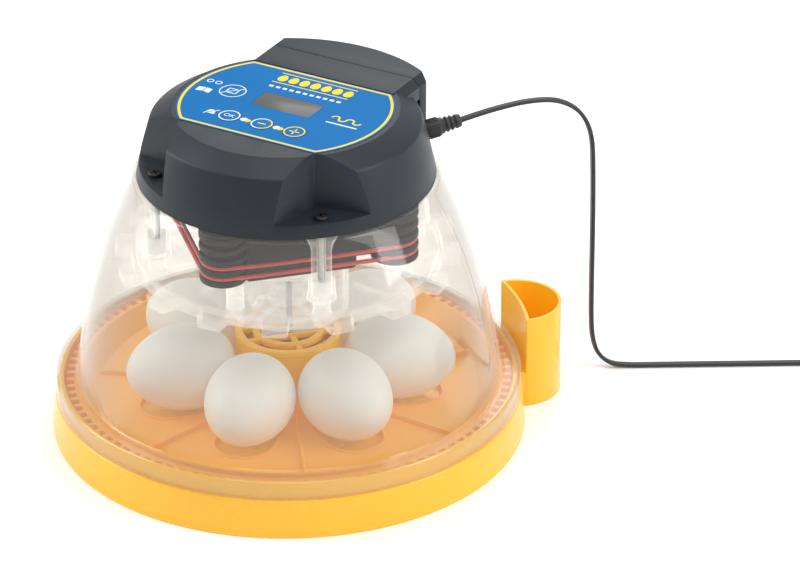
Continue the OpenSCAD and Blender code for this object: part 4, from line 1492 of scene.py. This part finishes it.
class IncubatorHeater(bpy.types.Operator):
    """Adds the grooved heater former, the silicone heater cable and the fan"""

    bl_idname = "incubator.heater"
    bl_label = "Heater and fan"

    def execute(self, context):
        z = FORMER_Z / MM
        r = 12.4
        d = sizes().wire_diameter
        groove = r - d / MM - 0.5
        gap = d / MM + 0.2
        step = 6.0
        outline = [(0, z)]
        for k in range(5):
            at = z + step * k
            outline += [
                (r, at, 1.3), (r, at + step - gap, 1.3), (groove, at + step - gap + 0.1, 0.4),
                (groove, at + step, 0.4),
            ]
        outline = outline[:-2] + [(groove, z + 28.4), (r, z + 28.4, 0.6), (r, z + 30, 0.6), (0, z + 30)]
        former = lathe("heater_formers", fillet(mm(outline), 4), 64)
        place(former, (0, 0, 0), (FORMER_R, 0, 0))
        formers = ring_copies(former, 4)
        across = FORMER_R / math.sqrt(2)
        run = 2 * across - 2 * (groove - 1) * MM
        web = block("web", (across - 1.2 * MM, -run / 2, (z + 3) * MM), (2.4 * MM, run, 25 * MM), 0.0006)
        webs = ring_copies(web, 4, math.radians(45))
        dress(join([formers, webs], "heater_formers"), "black", "lid", ["heater_former"])
        self.cable(z + step - gap / 2, groove * MM + d / 2 + 0.05 * MM, step, d)
        self.fan()
        return {"FINISHED"}

    def cable(self, z, reach, step, d):
        """Loops of cable laid in the grooves, each a rounded square round the four formers."""
        loops = []
        for level in range(2):
            height = (z + step * level) * MM
            path = []
            for corner in range(4):
                middle = math.pi / 2 * corner
                ahead = middle + math.pi / 2
                centre = Vector((FORMER_R * math.cos(middle), FORMER_R * math.sin(middle), height))
                for k in range(13):
                    a = middle - math.pi / 4 + math.pi / 2 * k / 12
                    path.append(centre + Vector((reach * math.cos(a), reach * math.sin(a), 0)))
                nxt = Vector((FORMER_R * math.cos(ahead), FORMER_R * math.sin(ahead), height))
                away = Vector((math.cos(middle + math.pi / 4), math.sin(middle + math.pi / 4), 0))
                for k in (0.25, 0.5, 0.75):
                    sag = 4 * k * (1 - k)
                    drop = Vector((0, 0, -0.5 * MM * sag * (1 + level)))
                    path.append(centre.lerp(nxt, k) + away * (reach - 0.5 * MM * sag) + drop)
            path.append(path[0])
            path.append(path[1])
            loops.append(sweep("loop", path, circle_section(d / 2, 12), (0, 0, 1)))
        cable = join(loops, "heater_cable")
        dress(cable, "cable", "lid", ["heater_wire"], 60)

    def fan(self):
        z0 = low("fan_frame").z
        t = 15 * MM
        half = 30 * MM
        frame_piece = block("fan_housing", (-half, -half, z0), (2 * half, 2 * half, t), 0.003)
        cut(frame_piece, drum("bore", 28.5 * MM, z0 - t, z0 + t - 2 * MM, 96))
        cut(frame_piece, drum("bore", 28.5 * MM, z0 + t - 4 * MM, z0 + 2 * t, 96))
        for x in (-25, 25):
            for y in (-25, 25):
                cut(frame_piece, drum("screw_hole", 2.1 * MM, z0 - t, z0 + 2 * t, 24, 0, (x * MM, y * MM)))
        soften(frame_piece, 0.0004, 2)
        arms = [drum("hub_plate", 12 * MM, z0 + t - 2 * MM, z0 + t, 64, 0.0004)]
        for k in range(3):
            arm = block("arm", (10 * MM, -1.5 * MM, z0 + t - 2 * MM), (19.5 * MM, 3 * MM, 2 * MM), 0.0004)
            arms.append(place(arm, (0, 0, 2 * math.pi / 3 * k)))
        whole = place(join([frame_piece] + arms, "fan_housing"), (0, 0, math.pi / 4))
        dress(whole, "black", "lid", ["fan_frame"])
        z1 = low("fan_impeller").z
        hub = lathe(
            "fan_rotor",
            fillet(mm([(0, z1 / MM), (11, z1 / MM, 1.2), (11, z1 / MM + 10.2, 0.5), (0, z1 / MM + 10.2)])),
            64,
        )
        blades = []
        for k in range(7):
            blade = block("blade", (9 * MM, -5 * MM, -0.6 * MM), (16.5 * MM, 10 * MM, 1.2 * MM), 0.0005)
            place(blade, (math.radians(38), 0, 0), (0, 0, z1 + 4.8 * MM))
            blades.append(place(blade, (0, 0, 2 * math.pi / 7 * k)))
        dress(join([hub] + blades, "fan_rotor"), "gloss_black", "fan", ["fan_impeller"])


# ---- Control head ----


class IncubatorHead(bpy.types.Operator):
    """Adds the head shell with its screw pockets, the rear cover and the parts inside"""

    bl_idname = "incubator.head"
    bl_label = "Control head"

    def execute(self, context):
        shell = self.solid(0, "head_housing")
        hollow = self.solid(2.4, "hollow")
        bottom = drum("bottom", 90 * MM, 100 * MM, HEAD_Z, 64)
        cut(shell, hollow)
        cut(shell, bottom)
        self.openings(shell)
        soften(shell, 0.0007, 3, 24)
        dress(shell, "head", "lid", ["head_shell"], 32)
        self.rear()
        self.inside()
        self.pocket_details()
        return {"FINISHED"}

    def round_outline(self, inset):
        i = inset
        h = HEAD_Z / MM
        t = TOP_Z / MM
        return mm([
            (0, h - 1), (77.6 - i, h - 1), (77.6 - i, h), (74.6 - i, h + 14), (
                70.4 - i, h + 29.7 - 0.45 * i, 3.0,
            ),
            (58.8 - 0.4 * i, t - i, 2.2), (0, t - i),
        ])

    def pocket(self, angle, grow, z):
        start = 55.8 - grow / math.sin(math.radians(58.3))
        reach = 40
        spread = reach * math.tan(math.radians(58.3))
        tool = prism(
            "pocket", fillet(mm([(start, 0, 1.6), (start + reach, -spread), (start + reach, spread)])),
            z * MM, 220 * MM,
        )
        return place(tool, (0, 0, math.radians(angle)))

    def box_solid(self, inset, front=38.6):
        half = BOX_HALF / MM - inset
        r = COVER_R / MM - inset
        top = BOX_TOP / MM - inset
        corner = math.asin(half / r)
        back = arc(r, math.pi / 2 - corner, math.pi / 2 + corner, 28)
        outline = [(half, front)] + back + [(-half, front)]
        body = prism("box", [(x * MM, y * MM) for x, y in outline], HEAD_Z - MM, top * MM)
        for side in (-1, 1):
            chamfer = block("chamfer", (0, 0, 0), (30 * MM, 200 * MM, 30 * MM))
            place(chamfer, (0, -math.pi / 4, 0), (side * half * MM, -20 * MM, (top - 4.1) * MM))
            cut(body, chamfer)
        return body

    def solid(self, inset, name):
        body = lathe(name, fillet(self.round_outline(inset), 5), 160)
        for angle in (-135, -45):
            cut(body, self.pocket(angle, inset, DOME_Z / MM + 7.3 - inset))
        box_part = self.box_solid(inset)
        cut(box_part, block("behind", (-0.1, (59.5 - inset) * MM, 0), (0.2, 0.2, 0.4)))
        cut(body, box_part, "UNION")
        body.name = name
        return body

    def openings(self, shell):
        for angle in (45, 135, 225, 315):
            a = math.radians(angle)
            cut(
                shell,
                drum(
                    "screw_hole", 2.4 * MM, HEAD_Z + 3 * MM, HEAD_Z + 10 * MM, 32, 0,
                    (BOSS_R * math.cos(a), BOSS_R * math.sin(a)),
                ),
            )
        window = (low("display_window"), high("display_window"))
        cut(
            shell,
            block(
                "window", (window[0].x - MM, window[0].y - MM, TOP_Z - 9 * MM),
                (window[1].x - window[0].x + 2 * MM, window[1].y - window[0].y + 2 * MM, 20 * MM),
            ),
        )
        for x in (-1, 0, 1):
            cut(
                shell,
                drum(
                    "key_hole", KEY_R + 0.3 * MM, TOP_Z - 9 * MM, TOP_Z + 9 * MM, 48, 0,
                    (x * KEY_PITCH, KEY_Y),
                ),
            )
        jack_hole = drum("jack_hole", 6.05 * MM, -20 * MM, 20 * MM, 48)
        place(jack_hole, (0, math.pi / 2, 0))
        outward(jack_hole, PLUG_ANGLE, HEAD_R - MM, DOME_Z + 12 * MM, PLUG_TILT)
        cut(shell, jack_hole)
        notch = block(
            "notch", (BOX_HALF - 1.4 * MM, PARTING_Y - 2.4 * MM, DOME_Z + 20 * MM),
            (3 * MM, 6 * MM, 7 * MM),
        )
        cut(shell, notch)

    def rear(self):
        cover = self.box_solid(0, 60.0)
        inner = self.box_solid(2.4, 50)
        cut(cover, inner)
        keep_off = lathe(
            "keep_off",
            mm(
                [
                    (0, 100), (78, 100), (78, HEAD_Z / MM + 0.2), (71, 176.4), (59.4, TOP_Z / MM + 0.3),
                    (0, TOP_Z / MM + 0.3),
                ]
            ),
            128,
        )
        cut(cover, keep_off)
        cut(cover, drum("bottom", 90 * MM, 100 * MM, HEAD_Z, 64))
        soften(cover, 0.0007, 3, 24)
        dress(cover, "head", "rear", ["rear_cover"], 32)

    def pocket_details(self):
        """A raised ring round the screw hole in the floor of each front pocket."""
        rings = []
        z = DOME_Z / MM + 7.3
        for angle in (-135, -45):
            ring = lathe(
                "pocket_ring",
                fillet(mm([(2.5, z - 0.4), (3.6, z - 0.4), (3.6, z + 0.5, 0.2), (2.5, z + 0.5, 0.2)]), 3),
                40,
            )
            a = math.radians(angle)
            place(ring, (0, 0, 0), (BOSS_R * math.cos(a), BOSS_R * math.sin(a), 0))
            rings.append(ring)
        dress(join(rings, "pocket_rings"), "head", "lid")

    def inside(self):
        for node, look in (
            ("head_floor", "head"), ("lcd_module", "board"), ("control_board", "board"),
            ("board_screws", "steel"), ("key_switches", "gloss_black"), ("alarm_buzzer", "gloss_black"),
            ("dc_jack", "gloss_black"),
        ):
            dress_node(node, look)


# ---- Panel, display and keys ----


class IncubatorPanel(bpy.types.Operator):
    """Adds the membrane panel with its border, symbols, display window and keys"""

    bl_idname = "incubator.membrane"
    bl_label = "Membrane panel"

    def execute(self, context):
        self.z = TOP_Z
        self.top = high("panel_label").z
        blue = prism("panel_sheet", self.panel_outline(0), self.z, self.top)
        self.cut_openings(blue)
        dress(blue, "panel", "lid", ["panel_label"])
        self.border()
        self.symbols()
        self.display()
        self.keys()
        return {"FINISHED"}

    def panel_outline(self, inset):
        """A circle cut off in front and behind, with softened corners."""
        r = PANEL_R - inset
        front, rear = PANEL_FRONT + inset, PANEL_REAR - inset
        a0, a1 = math.asin(front / r), math.asin(rear / r)
        right = arc(r, a0, a1, 40)
        left = [(-x, y) for x, y in reversed(right)]
        points = right + left
        last = len(points) - 1
        soft = {0, 40, 41, last}
        return fillet([(*p, 2.2 * MM) if i in soft else p for i, p in enumerate(points)], 5)

    def cut_openings(self, sheet):
        lo, hi = low("display_window"), high("display_window")
        cut(sheet, block("window", (lo.x, lo.y, self.z - MM), (hi.x - lo.x, hi.y - lo.y, 3 * MM)))
        for x in (-1, 0, 1):
            cut(
                sheet,
                drum(
                    "key_hole", KEY_R + 0.3 * MM, self.z - MM, self.z + 2 * MM, 64, 0,
                    (x * KEY_PITCH, KEY_Y),
                ),
            )

    def print_on(self, pieces, look, name, slot="key_print"):
        dress(join(pieces, name), look, "lid")

    def flat(self, outline, height=0.05):
        return prism("print", outline, self.top - 0.02 * MM, self.top + height * MM)

    def flat_ring(self, radius, width, x=0.0, y=0.0, start=0.0, end=2 * math.pi):
        steps = max(8, int(48 * (end - start) / (2 * math.pi)))
        outer = arc(radius, start, end, steps, (x, y))
        inner = arc(radius - width, end, start, steps, (x, y))
        if end - start > 6.28:
            half = math.pi
            return join([
                self.flat_ring(radius, width, x, y, 0, half),
                self.flat_ring(radius, width, x, y, half, 2 * half - 1e-4),
            ])
        return self.flat(outer + inner)

    def flat_disc(self, radius, x, y, height=0.05):
        return self.flat(arc(radius, 0, 2 * math.pi, 40, (x, y))[:-1], height)

    def bar(self, x0, y0, x1, y1, width):
        along = Vector((x1 - x0, y1 - y0)).normalized()
        side = Vector((-along.y, along.x)) * width / 2
        a, b = Vector((x0, y0)), Vector((x1, y1))
        return self.flat([tuple(a - side), tuple(b - side), tuple(b + side), tuple(a + side)])

    def border(self):
        outer = prism(
            "panel_border", self.panel_outline(0.9 * MM), self.top - 0.02 * MM, self.top + 0.05 * MM,
        )
        inner = prism("inner", self.panel_outline(2.3 * MM), self.top - MM, self.top + MM)
        cut(outer, inner)
        dress(outer, "trim", "lid")

    def egg_mark(self, x, y, size, height=0.05):
        """A small upright egg outline, filled."""
        points = []
        for k in range(28):
            a = 2 * math.pi * k / 28
            points.append(
                (x + size * 0.74 * math.cos(a) * (1 - 0.16 * math.sin(a)), y + size * math.sin(a))
            )
        return self.flat(points, height)

    def symbols(self):
        yellow, white = [], []
        for k in range(7):
            yellow.append(self.egg_mark((-17.4 + 6.5 * k) * MM, 27.4 * MM, 3.5 * MM))
        yellow.append(self.bar(-21 * MM, 32.9 * MM, 24 * MM, 32.9 * MM, 0.7 * MM))
        yellow.append(self.bar(-21 * MM, 21.9 * MM, 24 * MM, 21.9 * MM, 0.7 * MM))
        for k in range(11):
            white.append(
                self.bar((-19.6 + 4.0 * k) * MM, 17.0 * MM, (-17.2 + 4.0 * k) * MM, 17.0 * MM, 1.9 * MM)
            )
        # Right of the window: a yellow wave over a white rule, for the air flow
        for k in range(4):
            yellow.append(
                self.flat_ring(
                    2.6 * MM, 1.0 * MM, (29.5 + 4.2 * k) * MM, 0.2 * MM, 0 if k % 2 == 0 else math.pi,
                    math.pi if k % 2 == 0 else 2 * math.pi,
                )
            )
        white.append(self.bar(27 * MM, -5.6 * MM, 45 * MM, -5.6 * MM, 1.1 * MM))
        # Left: a barred circle, an open book and two plain marks
        white.append(self.flat_ring(7.2 * MM, 0.6 * MM, -32.7 * MM, 1.9 * MM))
        white.append(self.bar(-37.4 * MM, -2.8 * MM, -28 * MM, 6.6 * MM, 0.6 * MM))
        white.append(self.bar(-35.6 * MM, -0.6 * MM, -35.6 * MM, 4.4 * MM, 0.7 * MM))
        white.append(self.bar(-29.8 * MM, -0.6 * MM, -29.8 * MM, 4.4 * MM, 0.7 * MM))
        white.append(self.bar(-35.6 * MM, 4.2 * MM, -29.8 * MM, 4.2 * MM, 0.7 * MM))
        white.append(self.bar(-35.6 * MM, -0.6 * MM, -29.8 * MM, -0.6 * MM, 0.7 * MM))
        white += self.book(-46.6 * MM, -3.6 * MM)
        for k in range(2):
            white.append(self.flat_ring(1.9 * MM, 0.6 * MM, (-49.0 + 5.0 * k) * MM, 6.8 * MM))
        # Between the keys: short links, and a muted bell on the left
        for k in (-0.5, 0.5):
            x = k * KEY_PITCH
            white.append(self.bar(x - 3.2 * MM, KEY_Y, x + 3.2 * MM, KEY_Y, 0.8 * MM))
            white.append(self.flat_disc(1.9 * MM, x - 0.9 * MM, KEY_Y + 0.1 * MM, 0.06))
            yellow.append(self.flat_disc(1.6 * MM, x + 1.4 * MM, KEY_Y - 0.2 * MM, 0.07))
        white.append(
            self.flat(
                arc(2.2 * MM, 0, math.pi, 16, (-30 * MM, KEY_Y)) + [
                    (-32.8 * MM, KEY_Y - 2 * MM), (-27.2 * MM, KEY_Y - 2 * MM),
                ]
            )
        )
        white.append(self.bar(-33.2 * MM, KEY_Y - 3.2 * MM, -26.8 * MM, KEY_Y + 3.4 * MM, 0.6 * MM))
        self.print_on(yellow, "trim", "panel_yellow_print")
        self.print_on(white, "ink", "panel_white_print")

    def book(self, x, y):
        out = []
        for side in (-1, 1):
            leaf = [
                (x + side * 0.3 * MM, y - 1.9 * MM), (x + side * 4.0 * MM, y - 2.6 * MM),
                (x + side * 4.0 * MM, y + 1.9 * MM), (x + side * 0.3 * MM, y + 2.6 * MM),
            ]
            out.append(self.flat(leaf if side > 0 else leaf[::-1], 0.045))
        return out

    def display(self):
        lo, hi = low("display_window"), high("display_window")
        glass = block("display_glass", tuple(lo), tuple(hi - lo), 0.00012)
        dress(glass, "display", "lid", ["display_window"])
        frame_w = 0.7 * MM
        outer = prism(
            "display_frame",
            fillet(
                [
                    (lo.x - frame_w, lo.y - frame_w, MM), (hi.x + frame_w, lo.y - frame_w, MM),
                    (hi.x + frame_w, hi.y + frame_w, MM), (lo.x - frame_w, hi.y + frame_w, MM),
                ]
            ),
            self.top - 0.02 * MM, self.top + 0.04 * MM,
        )
        cut(outer, block("inner", (lo.x, lo.y, self.top - MM), (hi.x - lo.x, hi.y - lo.y, 2 * MM)))
        dress(outer, "panel", "lid")

    def keys(self):
        for k, (node, label) in enumerate((("key_ok", "OK"), ("key_minus", "-"), ("key_plus", "+"))):
            x = (k - 1) * KEY_PITCH
            body = node.replace("key_", "") + "_key"
            lo, hi = low(node), high(node)
            cap = lathe(
                f"{node}_cap",
                fillet(
                    mm(
                        [
                            (0, lo.z / MM), (KEY_R / MM, lo.z / MM), (KEY_R / MM, hi.z / MM, 0.25),
                            (0, hi.z / MM),
                        ]
                    )
                ),
                56,
            )
            place(cap, (0, 0, 0), (x, KEY_Y, 0))
            dress(cap, "panel", body, [node])
            self.key_face(k, x, hi.z, label, body)

    def key_face(self, k, x, z, label, body):
        """A ring and its sign: white, white and yellow, or yellow."""
        keep = self.top
        self.top = z
        ring, width = KEY_R - 0.15 * MM, 0.75 * MM
        quarter = math.pi / 2
        white, yellow = [], []
        if k == 0:
            white += [self.flat_ring(ring, width, x, KEY_Y), self.lettering(label, x, KEY_Y, 4.4 * MM)]
        elif k == 1:
            white.append(self.flat_ring(ring, width, x, KEY_Y, quarter, 3 * quarter))
            yellow.append(self.flat_ring(ring, width, x, KEY_Y, -quarter, quarter))
            yellow.append(self.bar(x - 2.4 * MM, KEY_Y, x + 2.4 * MM, KEY_Y, 0.8 * MM))
        else:
            yellow.append(self.flat_ring(ring, width, x, KEY_Y))
            yellow.append(self.bar(x - 2.9 * MM, KEY_Y, x + 2.9 * MM, KEY_Y, 0.8 * MM))
            yellow.append(self.bar(x, KEY_Y - 2.9 * MM, x, KEY_Y + 2.9 * MM, 0.8 * MM))
        self.top = keep
        for pieces, look in ((white, "ink"), (yellow, "trim")):
            if pieces:
                dress(join(pieces, f"key_{k + 1}_{look}_print"), look, body)

    def lettering(self, words, x, y, size):
        deselect()
        bpy.ops.object.text_add(location=(0, 0, 0))
        text = bpy.context.object
        text.data.body = words
        text.data.size = size
        text.data.align_x = "CENTER"
        text.data.align_y = "CENTER"
        text.data.extrude = 0.03 * MM
        text.data.resolution_u = 4
        bpy.ops.object.convert(target="MESH")
        return place(bpy.context.object, (0, 0, 0), (x, y, self.top + 0.05 * MM))


# ---- The add-on's panel, and the run ----

STEPS = (
    IncubatorStage, IncubatorMaterials, IncubatorCord, IncubatorBase, IncubatorGrille, IncubatorDisc,
    IncubatorEggs,
    IncubatorDome, IncubatorAirPlate, IncubatorHeater, IncubatorHead, IncubatorPanel,
)


class INCUBATOR_PT_steps(bpy.types.Panel):
    """Lists the modelling steps in the 3D view's sidebar"""

    bl_idname = "INCUBATOR_PT_steps"
    bl_label = "Egg incubator"
    bl_space_type = "VIEW_3D"
    bl_region_type = "UI"
    bl_category = "Incubator"

    def draw(self, context):
        for step in STEPS:
            self.layout.operator(step.bl_idname)


CLASSES = (EggIncubatorSizes, EggIncubatorColours) + STEPS + (INCUBATOR_PT_steps,)


def register():
    for cls in CLASSES:
        bpy.utils.register_class(cls)
    bpy.types.Scene.egg_incubator_sizes = bpy.props.PointerProperty(type=EggIncubatorSizes)
    bpy.types.Scene.egg_incubator_colours = bpy.props.PointerProperty(type=EggIncubatorColours)


def unregister():
    del bpy.types.Scene.egg_incubator_colours
    del bpy.types.Scene.egg_incubator_sizes
    for cls in reversed(CLASSES):
        bpy.utils.unregister_class(cls)


def main():
    register()
    bpy.ops.incubator.stage()
    bpy.ops.incubator.materials()
    bpy.ops.incubator.cord()
    bpy.ops.incubator.base()
    bpy.ops.incubator.grille()
    bpy.ops.incubator.disc()
    bpy.ops.incubator.eggs()
    bpy.ops.incubator.dome()
    bpy.ops.incubator.air_plate()
    bpy.ops.incubator.heater()
    bpy.ops.incubator.head()
    bpy.ops.incubator.membrane()


if __name__ == "__main__":
    main()
